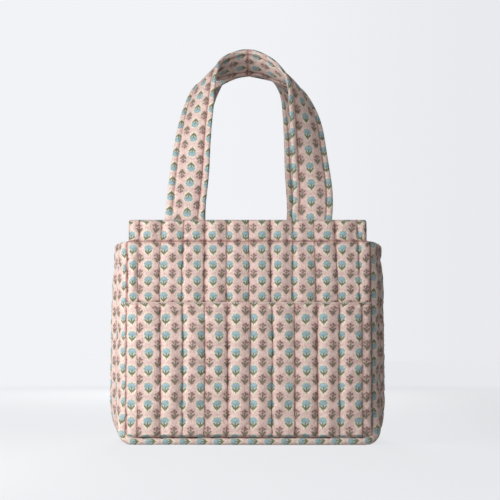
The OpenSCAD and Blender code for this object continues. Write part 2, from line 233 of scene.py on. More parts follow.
def shared_group(name, inputs, outputs, fill):
    """The node group of that name, made once; fill adds its nodes."""
    if name in bpy.data.node_groups:
        return bpy.data.node_groups[name]
    group = bpy.data.node_groups.new(name, "ShaderNodeTree")
    for label, kind, default in [("Vector", "Vector", None)] + inputs:
        socket = group.interface.new_socket(label, in_out="INPUT", socket_type=f"NodeSocket{kind}")
        if default is not None:
            socket.default_value = default
    for label, kind in outputs:
        group.interface.new_socket(label, in_out="OUTPUT", socket_type=f"NodeSocket{kind}")
    graph = Graph(group)
    fill(graph, graph.node("NodeGroupInput").outputs, graph.node("NodeGroupOutput").inputs)
    return group


def shared_material(name, values, fill):
    """The material of that name, made once, with its shader's values; fill adds its nodes."""
    if name not in bpy.data.materials:
        material = bpy.data.materials.new(name)
        material.use_nodes = True
        shader = material.node_tree.nodes["Principled BSDF"]
        for key, value in values.items():
            shader.inputs[key].default_value = value
        fill(Graph(material.node_tree), shader)
    return bpy.data.materials[name]


# ---- Print, weave and creases ----


def mirrored(centre, radii, soft, turn):
    """A spot and its mirror image."""
    return [((side * centre[0], centre[1]), radii, soft, side * turn) for side in (-1, 1)]


def petals():
    """Spots in an arc round the head of a flower."""
    turns = [math.radians(turn) for turn in range(-42, 223, 44)]
    return [((3.7 * math.cos(turn), 2.3 + 3.1 * math.sin(turn)), (1.6, 1.5), 0.35) for turn in turns]


def veins():
    """Thin spots that fan out from the cup of a flower."""
    return [
        ((2.6 * math.sin(math.radians(turn)), 0.4 + 2.3 * math.cos(math.radians(turn))),
         (0.36, 1.8), 0.5, -turn)
        for turn in (-52, -22, 22, 52)
    ]


def print_nodes(g, given, out):
    """Layers of spots, each a centre, its radii, its softness and its turn."""
    to_mm = g.vector("MULTIPLY", given["Vector"], (1000, 1000, 0))
    drift = g.vector("SUBTRACT", g.noise(to_mm, 0.35, 1.0, "Color"), (0.5, 0.5, 0.5))
    place = g.vector("ADD", to_mm, g.vector("MULTIPLY", drift, (0.8, 0.8, 0)))
    half_column = g.product(given["Columns"], 500)
    half_repeat = g.product(given["Repeat"], 500)
    half = g.node("ShaderNodeCombineXYZ", {"X": half_column, "Y": half_repeat, "Z": 1}).outputs[0]
    less = g.vector("MULTIPLY", half, (-1, -1, -1))
    flower = g.vector("WRAP", place, half, less)
    twig = g.vector("WRAP", g.vector("ADD", place, g.vector("MULTIPLY", half, (1, 1, 0))), half, less)
    worn = g.ramp(g.noise(to_mm, 2.2, 3.0), 0.26, 0.50)
    layers = [
        (twig, "Shadow", [0.45], [((0, 2.8), (4.8, 4.6), 0.4), ((0, -2.2), (4.4, 4.8), 0.4)]),
        (flower, "Halo", [0.75], [
            ((0, 2.3), (6.5, 5.8), 0.2), ((0, -3.4), (5.2, 4.2), 0.25), ((0, -6.0), (2.2, 2.8), 0.3),
        ]),
        (flower, "Petal Edge", [0.85], petals() + [((0, 2.0), (4.5, 3.9), 0.3)]),
        (flower, "Petals", [worn, 0.95], [
            ((0.1, 2.7), (3.3, 2.9), 0.6), *mirrored((2.4, 3.6), (1.5, 1.2), 0.5, -40),
        ]),
        (flower, "Halo", [0.5], [((0, -1.6), (3.2, 1.5), 0.5)]),
        (flower, "Leaves", [worn, 0.35], veins()),
        (flower, "Leaves", [worn, 0.95], [
            *mirrored((2.7, -1.9), (2.1, 0.95), 0.35, 38), *mirrored((1.4, -3.3), (2.3, 1.15), 0.35, 46),
            ((0, -2.7), (0.85, 4.0), 0.35),
        ]),
        (twig, "Sprigs", [worn, 0.85], [
            *mirrored((2.6, -1.2), (2.1, 1.15), 0.35, 35), *mirrored((1.6, -2.8), (2.5, 1.25), 0.35, 52),
            ((0, -3.5), (1.8, 2.7), 0.35), ((0.1, 0.4), (0.8, 3.4), 0.35),
            ((-1.3, 1.0), (1.7, 0.4), 0.3, -48), ((1.4, 1.2), (1.7, 0.4), 0.3, 48),
        ]),
        (twig, "Berries", [worn, 0.8], [
            ((0.3, 4.6), (1.5, 1.3), 0.4), ((-2.5, 3.2), (1.3, 1.0), 0.4),
            ((2.6, 3.0), (1.4, 1.1), 0.4), ((1.4, 3.4), (1.2, 0.9), 0.4),
        ]),
    ]
    colour = given["Ground"]
    for origin, ink, shares, spots in layers:
        mask = g.highest([g.spot(origin, *spot) for spot in spots])
        colour = g.blend(g.product(mask, *shares), colour, given[ink])
    g.feed(out["Color"], colour)


def sprig_print_group():
    """Columns of blue flowers in cream halos, with leafy sprigs halfway between them."""
    own = settings()
    inks = [
        ("Ground", own.ground), ("Shadow", own.shadow), ("Halo", own.halo), ("Petals", own.petal),
        ("Petal Edge", own.petal_edge), ("Leaves", own.leaf), ("Sprigs", own.sprig), ("Berries", own.berry),
    ]
    sizes = [("Columns", "Float", own.column_spacing), ("Repeat", "Float", own.repeat)]
    inputs = sizes + [(label, "Color", tuple(colour)) for label, colour in inks]
    return shared_group("Sprig print", inputs, [("Color", "Color")], print_nodes)


def weave_nodes(g, given, out):
    count = g.product(given["Threads"], math.pi)
    scaled = g.node("ShaderNodeVectorMath", {0: given["Vector"], "Scale": count}, operation="SCALE")
    axes = g.node("ShaderNodeSeparateXYZ", {"Vector": scaled.outputs["Vector"]}).outputs
    across, along = g.math("SINE", axes["X"]), g.math("SINE", axes["Y"])
    over = g.math("ADD", g.product(across, along, 0.5), 0.5)
    mm = g.vector("MULTIPLY", given["Vector"], (1000, 1000, 1))
    drawn = [g.vector("MULTIPLY", mm, stretch) for stretch in ((0.12, 2.4, 1), (2.4, 0.12, 1))]
    slub = g.math("ADD", *[g.noise(place, 1.0, 2.0) for place in drawn])
    g.feed(out["Height"], g.math("ADD", g.product(over, 0.6), g.product(slub, 0.4)))
    shade = g.math("ADD", g.product(over, 0.14), g.product(slub, 0.62))
    g.feed(out["Shade"], g.math("ADD", shade, 0.34))


def weave_group():
    """Plain weave: a height for bumps, and a shade that says how light each thread is."""
    outputs = [("Height", "Float"), ("Shade", "Float")]
    return shared_group("Plain weave", [("Threads", "Float", 1900.0)], outputs, weave_nodes)


def crease_nodes(g, given, out):
    wide = g.noise(given["Vector"], given["Scale"], 3.0)
    ridged = g.math("ABSOLUTE", g.math("SUBTRACT", wide, 0.5))
    g.feed(out["Height"], g.math("SUBTRACT", 1.0, g.product(ridged, 2.0)))


def crease_group():
    """Soft small creases of washed cotton, as a height."""
    return shared_group("Washed creases", [("Scale", "Float", 140.0)], [("Height", "Float")], crease_nodes)


# ---- Materials ----

CLOTH_SHADER = {
    "Roughness": 0.88, "Specular IOR Level": 0.25, "Sheen Weight": 0.12, "Sheen Roughness": 0.5,
}


def cloth_nodes(g, shader, print_group=None):
    """Woven cotton, printed or plain: darker and redder in its sewn rows and seams, where the thread's colour
    is mixed with painted shade in the creases, and paler where a painted highlight is marked.
    """
    place = g.node("ShaderNodeUVMap", uv_map="cloth").outputs["UV"]
    weave = g.shared(weave_group(), place)
    colour = g.shared(print_group, place)["Color"] if print_group else tuple(settings().lining)
    shades = {key: weave["Shade"] for key in ("Red", "Green", "Blue")}
    shade = g.node("ShaderNodeCombineColor", shades).outputs[0]
    colour = g.blend(1.0, colour, shade, "MULTIPLY")
    mottle = g.noise(g.vector("MULTIPLY", place, (1.2, 0.5, 1)), 620.0, 3.0)
    mottled = g.product(g.ramp(mottle, 0.42, 0.62), 0.75)
    colour = g.blend(mottled, colour, (0.82, 0.70, 0.69, 1), "MULTIPLY")
    # The 'sewn' mark carries the thread's darker colour on the sewn rows and seams together with painted
    # crease shade there; its negative values carry a painted highlight.
    sewn_and_painted_light = g.node("ShaderNodeAttribute", attribute_name="sewn").outputs["Fac"]
    patchy = g.product(g.ramp(g.noise(place, 70.0, 2.0), 0.1, 0.75), 0.5)
    sewn = g.product(g.math("MAXIMUM", sewn_and_painted_light, 0.0), g.math("ADD", 0.5, patchy))
    # Painted shade: rows and seams are multiplied darker and redder, partly the thread's own colour and partly
    # shade painted into the creases.
    colour = g.blend(sewn, colour, (0.40, 0.21, 0.19, 1), "MULTIPLY")
    # Painted highlight: where the mark is below 0, the cloth is blended towards pale pink, as light caught on
    # the pocket's top fold.
    painted_highlight = g.math("MAXIMUM", g.product(sewn_and_painted_light, -1.0), 0.0)
    g.feed(shader.inputs["Base Color"], g.blend(painted_highlight, colour, (0.90, 0.76, 0.70, 1)))
    soft = g.bump(g.shared(crease_group(), place)["Height"], 0.0012, 0.7)
    g.feed(shader.inputs["Normal"], g.bump(weave["Height"], 0.00018, 0.5, Normal=soft))


def printed_cotton():
    def fill(g, shader):
        cloth_nodes(g, shader, sprig_print_group())

    return shared_material("Printed cotton", CLOTH_SHADER, fill)


def plain_lining():
    return shared_material("Plain lining", CLOTH_SHADER, cloth_nodes)


def thread_nodes(g, shader):
    place = g.node("ShaderNodeTexCoord").outputs["Object"]
    inputs = {"Vector": place, "Scale": 900.0, "Distortion": 2.0}
    twist = g.node("ShaderNodeTexWave", inputs, bands_direction="DIAGONAL").outputs["Fac"]
    dark = tuple(settings().thread_colour)
    pale = tuple(min(1.0, 1.25 * value) for value in dark[:3]) + (1.0,)
    g.feed(shader.inputs["Base Color"], g.blend(twist, dark, pale))
    g.feed(shader.inputs["Normal"], g.bump(twist, 0.0001, 0.6))


def sewing_thread():
    """Matt sewing thread with a twist along it."""
    return shared_material("Sewing thread", {"Roughness": 0.7, "Sheen Weight": 0.2}, thread_nodes)


def tape_nodes(g, shader):
    place = g.node("ShaderNodeUVMap", uv_map="cloth").outputs["UV"]
    inputs = {"Vector": place, "Scale": 420.0, "Distortion": 0.6}
    ribs = g.node("ShaderNodeTexWave", inputs, bands_direction="Y").outputs["Fac"]
    pale, dark = (0.72, 0.55, 0.47, 1), (0.50, 0.33, 0.28, 1)
    g.feed(shader.inputs["Base Color"], g.blend(ribs, dark, pale))
    g.feed(shader.inputs["Normal"], g.bump(ribs, 0.0003, 0.6))


def seam_tape():
    """Narrow woven tape, ribbed across."""
    return shared_material("Seam tape", {"Roughness": 0.85, "Sheen Weight": 0.15}, tape_nodes)


# ---- Mesh helpers ----


def deselect_all():
    if bpy.context.object and bpy.context.object.mode != "OBJECT":
        bpy.ops.object.mode_set(mode="OBJECT")
    bpy.ops.object.select_all(action="DESELECT")


def select_only(piece):
    deselect_all()
    piece.select_set(True)
    bpy.context.view_layer.objects.active = piece


def positions(mesh):
    flat = np.empty(len(mesh.vertices) * 3)
    mesh.vertices.foreach_get("co", flat)
    return flat.reshape(-1, 3)


def set_positions(mesh, points):
    mesh.vertices.foreach_set("co", np.ascontiguousarray(points, float).ravel())
    mesh.update()


def apply_modifier(piece, kind, **values):
    """Adds a modifier, sets it and applies it."""
    select_only(piece)
    bpy.ops.object.modifier_add(type=kind)
    modifier = piece.modifiers[-1]
    for key, value in values.items():
        setattr(modifier, key, value)
    bpy.ops.object.modifier_apply(modifier=modifier.name)


def grid(name, columns, rows):
    """A grid of points, and the column and row of each of its vertices."""
    deselect_all()
    bpy.ops.mesh.primitive_grid_add(x_subdivisions=columns - 1, y_subdivisions=rows - 1, size=1)
    piece = bpy.context.object
    piece.name = piece.data.name = name
    shares = positions(piece.data)[:, :2] + 0.5
    column = np.rint(shares[:, 0] * (columns - 1)).astype(int)
    row = np.rint(shares[:, 1] * (rows - 1)).astype(int)
    return piece, column, row


def face_outwards(piece):
    """Points all faces of a closed piece outwards."""
    select_only(piece)
    bpy.ops.object.mode_set(mode="EDIT")
    bpy.ops.mesh.select_all(action="SELECT")
    bpy.ops.mesh.normals_make_consistent(inside=False)
    bpy.ops.object.mode_set(mode="OBJECT")


def paint_cloth(piece, u, v, sewn):
    """Writes the cloth's flat coordinates, in metres, and its 'sewn' mark: near 1 on sewn rows and seams for
    the thread's colour with painted crease shade, and below 0 for a painted highlight.
    """
    mesh = piece.data
    while mesh.uv_layers:
        mesh.uv_layers.remove(mesh.uv_layers[0])
    layer = mesh.uv_layers.new(name="cloth")
    corner = np.empty(len(mesh.loops), int)
    mesh.loops.foreach_get("vertex_index", corner)
    layer.data.foreach_set("uv", np.column_stack([u[corner], v[corner]]).ravel())
    mark = mesh.attributes.new("sewn", "FLOAT", "POINT")
    mark.data.foreach_set("value", np.ascontiguousarray(sewn, float))


def dress(piece, material):
    piece.data.materials.clear()
    piece.data.materials.append(material)
    piece.data.shade_smooth()


def slab(name, outer, inner, u, v, sewn, material):
    """A closed piece between two sheets of points, arrays of [column, row, 3]."""
    piece, column, row = grid(name, *outer.shape[:2])
    apply_modifier(piece, "SOLIDIFY", thickness=0.01, offset=-1, use_rim=True)
    set_positions(piece.data, np.vstack([outer[column, row], inner[column, row]]))
    paint_cloth(piece, *[np.concatenate([values[column, row]] * 2) for values in (u, v, sewn)])
    dress(piece, material)
    return piece


def tube(name, rings, u, v, sewn, material):
    """A closed tube through rings of points: a grid rolled up, joined at its edge and filled at its ends."""
    count, around = rings.shape[:2]
    piece, column, row = grid(name, around + 1, count)
    ring = column % around
    set_positions(piece.data, rings[row, ring])
    paint_cloth(piece, u[row, ring], v[row, ring], sewn[row, ring])
    select_only(piece)
    bpy.ops.object.mode_set(mode="EDIT")
    bpy.ops.mesh.select_all(action="SELECT")
    bpy.ops.mesh.remove_doubles(threshold=1e-7)
    bpy.ops.mesh.select_all(action="SELECT")
    bpy.ops.mesh.fill_holes(sides=0)
    face_outwards(piece)
    dress(piece, material)
    return piece


def settle(sheet, sewn, force):
    """Lets a sheet swell between its sewn rows as cloth does, by no more than the setting allows."""
    piece, column, row = grid("settling", *sheet.shape[:2])
    set_positions(piece.data, sheet[column, row])
    group = piece.vertex_groups.new(name="sewn")
    group.add(np.flatnonzero(sewn[column, row]).tolist(), 1.0, "REPLACE")
    bpy.ops.object.modifier_add(type="CLOTH")
    cloth = piece.modifiers[-1]
    behaviour = {
        "quality": 6, "mass": 0.3, "tension_stiffness": 12, "compression_stiffness": 12,
        "shear_stiffness": 6, "bending_stiffness": 0.02, "vertex_group_mass": "sewn",
        "use_pressure": True, "uniform_pressure_force": force, "shrink_min": -0.035,
    }
    for key, value in behaviour.items():
        setattr(cloth.settings, key, value)
    cloth.settings.effector_weights.gravity = 0
    cloth.point_cache.frame_start = 1
    cloth.point_cache.frame_end = 20
    for step in range(1, 21):
        bpy.context.scene.frame_set(step)
    bpy.ops.object.modifier_apply(modifier=cloth.name)
    moved = positions(piece.data) - sheet[column, row]
    reach = np.linalg.norm(moved, axis=1)[:, None]
    moved *= np.minimum(1, settings().swelling / np.maximum(reach, 1e-9))
    settled = sheet.copy()
    settled[column, row] += moved
    bpy.data.objects.remove(piece)
    bpy.context.scene.frame_set(1)
    return settled


def path_length(points):
    """Distance along a line of points, from its start."""
    return np.concatenate([[0], np.cumsum(np.linalg.norm(np.diff(points, axis=0), axis=1))])


def arc_length(sheet):
    """Distance along each line of a sheet's columns, from the first column."""
    step = np.linalg.norm(np.diff(sheet, axis=0), axis=2)
    return np.cumsum(np.pad(step, [(1, 0), (0, 0)]), axis=0)


def unit(vectors):
    return vectors / np.linalg.norm(vectors, axis=1)[:, None]


def resampled(line, run, places):
    return np.column_stack([np.interp(places, run, line[:, i]) for i in range(3)])


def stitching(name, lines, replaced):
    """Sewing thread along lines of (points, outward directions): one stitch, repeated and laid in place."""
    own = settings()
    length, radius = own.stitch_length, own.thread / 2
    starts, ends, outs = [], [], []
    for points, away in lines:
        run = path_length(points)
        count = max(1, int(run[-1] / length))
        middle = (np.arange(count) + 0.5) * run[-1] / count
        starts.append(resampled(points, run, middle - 0.4 * length))
        ends.append(resampled(points, run, middle + 0.4 * length))
        outs.append(resampled(np.broadcast_to(away, points.shape), run, middle))
    start, end, out = (np.vstack(parts) for parts in (starts, ends, outs))
    deselect_all()
    bpy.ops.mesh.primitive_uv_sphere_add(segments=6, ring_count=6, radius=1)
    piece = bpy.context.object
    piece.name = piece.data.name = name
    shape = positions(piece.data)
    apply_modifier(piece, "ARRAY", count=len(start), use_relative_offset=False)
    along, out = (end - start) / 2, unit(out)
    side = unit(np.cross(along, out))
    rise = shape[:, 1] * 0.85 + 1.1 * (1 - shape[:, 2] ** 2) - 0.3
    laid = (
        ((start + end) / 2)[:, None]
        + along[:, None] * shape[None, :, 2:3]
        + side[:, None] * shape[None, :, 0:1] * radius
        + out[:, None] * rise[None, :, None] * radius
    )
    set_positions(piece.data, laid.reshape(-1, 3))
    dress(piece, sewing_thread())
    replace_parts(piece, replaced)
    return piece


def bag_stitching(name, lines, replaced):
    """Stitches that stay with the bag."""
    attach(stitching(name, lines, replaced), "bag")


def bag_cloth(piece):
    """Attaches a piece to the bag."""
    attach(piece, "bag")
    return piece


def bag_lining(piece):
    """Attaches a piece of lining to the bag."""
    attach(piece, "bag")
    return piece


def waves(a, b, seed, count=6):
    """Smooth values of about -1 to 1 over two arrays, the same on every run."""
    draw = np.random.default_rng(seed)
    total = 0
    for _ in range(count):
        turn, phase = draw.uniform(0, 2 * math.pi, 2)
        rate = draw.uniform(0.6, 1.5)
        total = total + np.sin(rate * (a * math.cos(turn) + b * math.sin(turn)) + phase)
    return total / math.sqrt(count)


def facing(side, points):
    """Points made for the front, on the front or turned round to the back."""
    return points * np.array([side, side, 1])


def sheet_at(out, x, z):
    """Points of a sheet at its distance towards the front, over its places x and z."""
    return np.stack([x, -out, z], axis=2)


# ---- Quilting ----


def swell(share):
    """Height of a padded channel at a share of its width."""
    return np.power(np.clip(np.sin(math.pi * share), 0, 1), 0.62)


def channel_edges(pitch):
    """Places of the sewn rows across a panel, and of the two side seams."""
    count = int((HALF_WIDTH - pitch / 3) / pitch)
    return [-HALF_WIDTH] + [k * pitch for k in range(-count, count + 1)] + [HALF_WIDTH]


def channel_columns(channels, steps):
    """For each column of points, the channel it is in and its share across that channel."""
    shares = [(1 - math.cos(math.pi * k / steps)) / 2 for k in range(steps)]
    spots = [(i, share) for i in range(channels) for share in shares] + [(channels - 1, 1.0)]
    return np.array([spot[0] for spot in spots]), np.array([spot[1] for spot in spots])


def levels(start, end, step, marks):
    """Heights from start to end, closer together round the marks."""
    found = set(np.linspace(start, end, int(round((end - start) / step)) + 1).round(6))
    for mark in marks:
        for gap in (0, 0.35, 0.8, 1.4, 2.2, 3.2):
            for z in (mark - gap * MM, mark + gap * MM):
                if start < z < end:
                    found.add(round(z, 6))
    kept = [min(found)]
    for z in sorted(found):
        if z - kept[-1] > 0.25 * MM:
            kept.append(z)
    kept[-1] = end
    return np.array(kept)


def rounded(distance, radius):
    """0 at an edge, rising along a quarter circle to 1 at the radius."""
    t = np.clip(distance / radius, 0, 1)
    return np.sqrt(np.clip(1 - (1 - t) ** 2, 0, 1))


def sewn_rows(near):
    """1 on a sewn row and 0 away from it."""
    return np.exp(-((near / ROW_WIDTH) ** 1.5))


def groove(distance, width):
    """1 in a groove and 0 away from it."""
    return np.exp(-np.abs(distance / width) ** 1.6)


def outline_half(z):
    """Half the panel's width at a height, with its bottom corners rounded."""
    return HALF_WIDTH - BOTTOM_ROUND * (1 - rounded(z - SEAM_Z, BOTTOM_ROUND))


def quilted_cloth(edges, steps, heights, seed, side_edge, flare):
    """Across a quilted sheet: x and z of each point, its channel, share, distance to a row, and width."""
    channel, share = channel_columns(len(edges) - 1, steps)
    z = np.broadcast_to(heights, (len(channel), len(heights)))
    wander = 0.5 * MM
    rows = [side_edge(heights, -1)]
    for i, edge in list(enumerate(edges))[1:-1]:
        rows.append(edge * flare + wander * waves(heights / (38 * MM), 0 * heights + i * 3.1, seed))
    rows = np.array(rows + [side_edge(heights, 1)])
    left, right = rows[channel], rows[channel + 1]
    x = left + (right - left) * share[:, None]
    near = np.minimum(x - left, right - x)
    wide = np.diff(np.array(edges))[channel][:, None]
    return x, z, channel[:, None] + 0 * x, share[:, None] + 0 * x, near, wide


def puckers(near, z, channel, seed, depth=0.35 * MM):
    """Short creases that run out from the sewn rows."""
    return depth * np.exp(-near / (4.5 * MM)) * waves(z / (1.5 * MM), channel * 2.3, seed, 7)


def seam_edge(z, hand):
    """Side edge of a panel: on the seam up to the side's top, and set in above it."""
    inset = HALF_WIDTH - high("front_hem").x
    shoulder = 3 * MM
    below = hand * outline_half(z)
    above = hand * (HALF_WIDTH - inset / 2 - shoulder * (1 - rounded(PANEL_TOP - z, shoulder))) - 1.0 * MM
    share = np.clip((z - SIDE_TOP) / (1.8 * MM) + 0.5, 0, 1)
    return below + (above - below) * share


def panel_cloth(steps, seed):
    """Levels of a panel, and its quilted cloth with rows that spread a little on their way down."""
    edges = channel_edges(settings().panel_pitch)
    heights = levels(SEAM_Z, PANEL_TOP, LEVEL_STEP, (SEAM_Z, SIDE_TOP, PANEL_TOP))
    fan = 1 + 0.024 * np.clip((PANEL_TOP - heights) / (60 * MM), 0, 1)
    return heights, quilted_cloth(edges, steps, heights, seed, seam_edge, fan)


def padding(height_share, x, z, wide, share, seed, pitch, rate):
    """Height of the padded channels, lower in narrow ones, with slow uneven swells."""
    own = settings()
    full = np.clip(wide / pitch, 0, 1)
    height = own.puff * full * swell(share) * height_share
    return height * (1 + 0.13 * waves(x / rate, z / (30 * MM), seed + 1))


def cloth_across(outer, flower_x, stretch):
    """The cloth's coordinate across a sheet, from a flower near its middle column."""
    u = arc_length(outer)
    return (u - u[len(u) // 2][None, :] - flower_x) * stretch


def settled_sheet(out, x, z, near, line, top):
    """A sheet that has swelled except on its rows, along a line, at its foot and above its top."""
    pinned = (near < ON_ROW) | line | (z < SEAM_Z + 0.1 * MM) | (z > top)
    return settle(sheet_at(out, x, z), pinned, settings().pressure)


def stitch_rows(side, word, outer, share, heights, top):
    """Stitches along the sewn rows of a sheet, from just above its foot to its top."""
    away = np.array([0.0, -side, 0.0])
    keep = (heights > SEAM_Z + 1 * MM) & (heights < top)
    lines = [(outer[c, keep], away) for c in range(1, len(share) - 1) if share[c, 0] == 0]
    bag_stitching(f"{word}_row_stitches", lines, f"{word}_quilting")


def stitch_level(side, word, outer, level, end_gap):
    """Stitches along one level of a sheet, as far as a gap from its side seams."""
    line = outer[np.abs(outer[:, level, 0]) < HALF_WIDTH - end_gap, level]
    bag_stitching(f"{word}_stitches", [(line, np.array([0.0, -side, 0.0]))], f"{word}_stitch")


# ---- Panels ----


def panel_piece(side, word, seed):
    """One quilted panel with its stitches."""
    own = settings()
    heights, (x, z, channel, share, near, wide) = panel_cloth(CHANNEL_STEPS, seed)
    rise, hem_wide, crest = 0.4 * MM, 2.0 * MM, 70 * MM
    above_hem = z - SIDE_TOP
    hem = groove(above_hem, hem_wide)
    side_gap = np.minimum(x - x[:1], x[-1:] - x)
    edge = rounded(side_gap, SIDE_ROUND) * rounded(z - SEAM_Z, BOTTOM_ROUND)
    top = rounded(PANEL_TOP - z, 3.2 * MM)
    flatter = (1 - 0.9 * hem) * np.where(z > SIDE_TOP, 0.82, 1.0)
    height = padding(flatter, x, z, wide, share, seed, own.panel_pitch, 16 * MM)
    height = height + puckers(near, z, channel, seed + 2)
    height = height + puckers(np.abs(above_hem), x, 0 * x, seed + 3, 0.3 * MM)
    out = COVER_BACK_Y + rise + (crest + height - COVER_BACK_Y - rise) * edge * top
    out = out - 1.1 * MM * groove(above_hem, 1.1 * MM)
    outer = settled_sheet(out, x, z, near, hem > 0.98, PANEL_TOP - 3 * MM)
    inner = sheet_at(0 * x + COVER_BACK_Y, x, z)
    flower_x, flower_z, column_seen, repeat_seen = -4.3 * MM, 232.0 * MM, 21.1 * MM, 19.0 * MM
    u = cloth_across(outer, flower_x, own.column_spacing / column_seen)
    v = (z - flower_z) * (own.repeat / repeat_seen) + 1.2 * MM * np.tanh(above_hem / hem_wide)
    # Sewn mark on the rows, the hem line and the side seams: the thread's darker colour with painted shade in
    # these creases.
    sewn = sewn_rows(near) + 1.1 * groove(above_hem, 0.8 * MM)
    sewn = sewn + 0.9 * groove(side_gap, 1.2 * MM) * (z < SIDE_TOP)
    # Painted shadow: a dark line on the front panel just above the pocket's mouth, where the pocket stands off
    # from it.
    if side == FRONT:
        sewn = sewn + 0.45 * groove(z - POCKET_TOP - 0.6 * MM, 1.1 * MM)
    outer, inner = facing(side, outer), facing(side, inner)
    piece = slab(f"{word}_panel", outer, inner, u, v, np.clip(sewn, 0, 1), printed_cotton())
    stitch_rows(side, word, outer, share, heights, PANEL_TOP - 3 * MM)
    stitch_level(side, f"{word}_hem", outer, int(np.argmin(np.abs(heights - SIDE_TOP))), 6 * MM)
    return bag_cloth(piece)


def lining_piece(side, word, seed):
    """Plain lining on the inside of a panel, drawn in by the same sewn rows."""
    _, (x, z, channel, share, near, wide) = panel_cloth(LINING_STEPS, seed)
    full = np.clip(wide / settings().panel_pitch, 0, 1)
    below_hem = np.clip((SIDE_TOP - 1 * MM - z) / (6 * MM), 0, 1) * rounded(z - SEAM_Z, 6 * MM)
    swollen = 1.7 * MM * full * swell(share) * below_hem
    swollen = swollen + puckers(near, z, channel, seed + 6) * below_hem
    outer = sheet_at(0 * x + COVER_BACK_Y - 0.1 * MM, x, z)
    inner = sheet_at(INNER_Y - swollen, 0.999 * x, z)
    # The sewn rows darken the lining: the thread's colour with painted crease shade.
    sewn = sewn_rows(near) * below_hem
    outer, inner = facing(side, outer), facing(side, inner)
    piece = slab(f"{word}_inside", outer, inner, x, z, sewn, plain_lining())
    return bag_lining(piece)


def hem_piece(side, word, seed):
    """Top hem folded to the inside, over the strap ends."""
    half = high("front_hem").x
    low_z, top_z = low("front_hem").z, PANEL_TOP - 0.3 * MM
    back, face = -low("front_hem").y, -high("front_hem").y
    fold = 3.1 * MM
    across = np.linspace(-half, half, 181)
    x, z = np.meshgrid(across, levels(low_z, top_z, 1.6 * MM, (low_z, top_z)), indexing="ij")
    edge = rounded(half - np.abs(x), 2 * MM) * rounded(z - low_z, 1.6 * MM) * rounded(top_z - z, 1.8 * MM)
    strap = np.clip((24.5 * MM - np.abs(np.abs(x) - FOOT_X)) / (2 * MM), 0, 1)
    soft = 0.35 * MM * waves(x / (9 * MM), z / (14 * MM), seed) + 0.5 * MM * strap
    middle = (back - fold + face) / 2
    outer = sheet_at(middle + (back - fold * strap - middle) * edge, x, z)
    inner = sheet_at(middle + (face - soft - middle) * edge, x, z)
    outer, inner = facing(side, outer), facing(side, inner)
    return bag_cloth(slab(f"{word}_top_hem", outer, inner, x, z, 0 * x, printed_cotton()))


def binding_piece(side, word, seed):
    """Tape folded over the raw seam, down one side, along the base and up the other side."""
    least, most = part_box("front_seam_binding")
    mid_y, half_w = (least.y + most.y) / 2, (most.y - least.y) / 2
    turn, thick, corner = 13 * MM, 2.0 * MM, 0.9 * MM
    x_run, z_low, z_top = most.x - thick / 2, least.z + thick / 2, most.z - 0.5 * MM
    half = [(-x_run, z) for z in np.linspace(z_top, z_low + turn, 90)]
    half += [(turn - x_run - turn * math.cos(a), z_low + turn - turn * math.sin(a))
             for a in np.linspace(0, math.pi / 2, 14)[1:]]
    base = [(x, z_low) for x in np.linspace(turn - x_run, x_run - turn, 120)[1:-1]]
    path = np.array(half + base + [(-x, z) for x, z in reversed(half)])
    way = unit(np.gradient(path, axis=0))
    inward = np.column_stack([-way[:, 1], way[:, 0]])
    run = path_length(path)
    section = np.array([
        (sy * (half_w - corner) + corner * math.cos(a), sz * (thick / 2 - corner) + corner * math.sin(a))
        for sy, sz, start in ((1, 1, 0), (-1, 1, 90), (-1, -1, 180), (1, -1, 270))
        for a in np.radians(np.linspace(start, start + 90, 5))
    ])
    wave = 0.25 * MM * waves(run / (12 * MM), 0 * run, seed)
    lift = section[:, 1] + np.abs(wave)[:, None]
    rings = np.stack([
        path[:, :1] + inward[:, :1] * lift,
        np.tile(mid_y + section[:, 0], (len(path), 1)),
        path[:, 1:] + inward[:, 1:] * lift,
    ], axis=2)
    u = np.tile(section[:, 0], (len(path), 1))
    v = np.tile(run[:, None], (1, len(section)))
    piece = tube(f"{word}_tape", facing(side, rings), u, v, 0 * u, seam_tape())
    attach(piece, "bag")
    return piece


# ---- Pocket ----

POCKET_SEED = 40
POCKET_LINING_STEPS = 6
POCKET_STITCH_Z = POCKET_TOP - 2.4 * MM


def pocket_edge(z, hand):
    return hand * (outline_half(z) + 0.2 * MM)


def pocket_shape(steps):
    """The pocket's levels and quilted cloth, its distance to the side seams, and its back's distance out."""
    edges = channel_edges(settings().pocket_pitch)
    heights = levels(SEAM_Z, POCKET_TOP, LEVEL_STEP, (SEAM_Z, POCKET_STITCH_Z, POCKET_TOP))
    x, z, *places = quilted_cloth(edges, steps, heights, POCKET_SEED, pocket_edge, 1.0)
    x = x + 1.0 * MM * np.clip((HALF_WIDTH - np.abs(x)) / (12 * MM), 0, 1)
    side_gap = np.minimum(x - x[:1], x[-1:] - x)
    stand_off = 6 * MM * np.sqrt(np.clip((HALF_WIDTH - np.abs(x)) / (16 * MM), 0, 1))
    back = CREST_Y + 0.3 * MM + stand_off
    slack_from = 100 * MM
    rise = np.clip((z - slack_from) / (POCKET_TOP - slack_from), 0, 1)
    slack = 1.1 * MM * waves(x / (45 * MM), 0 * x, POCKET_SEED + 4) * rise
    back = back + slack * rounded(side_gap, 30 * MM)
    foot = (1 - rounded(z - SEAM_Z, 5 * MM)) * (back - COVER_BACK_Y - 1.5 * MM)
    return heights, (x, z, *places), side_gap, back - foot


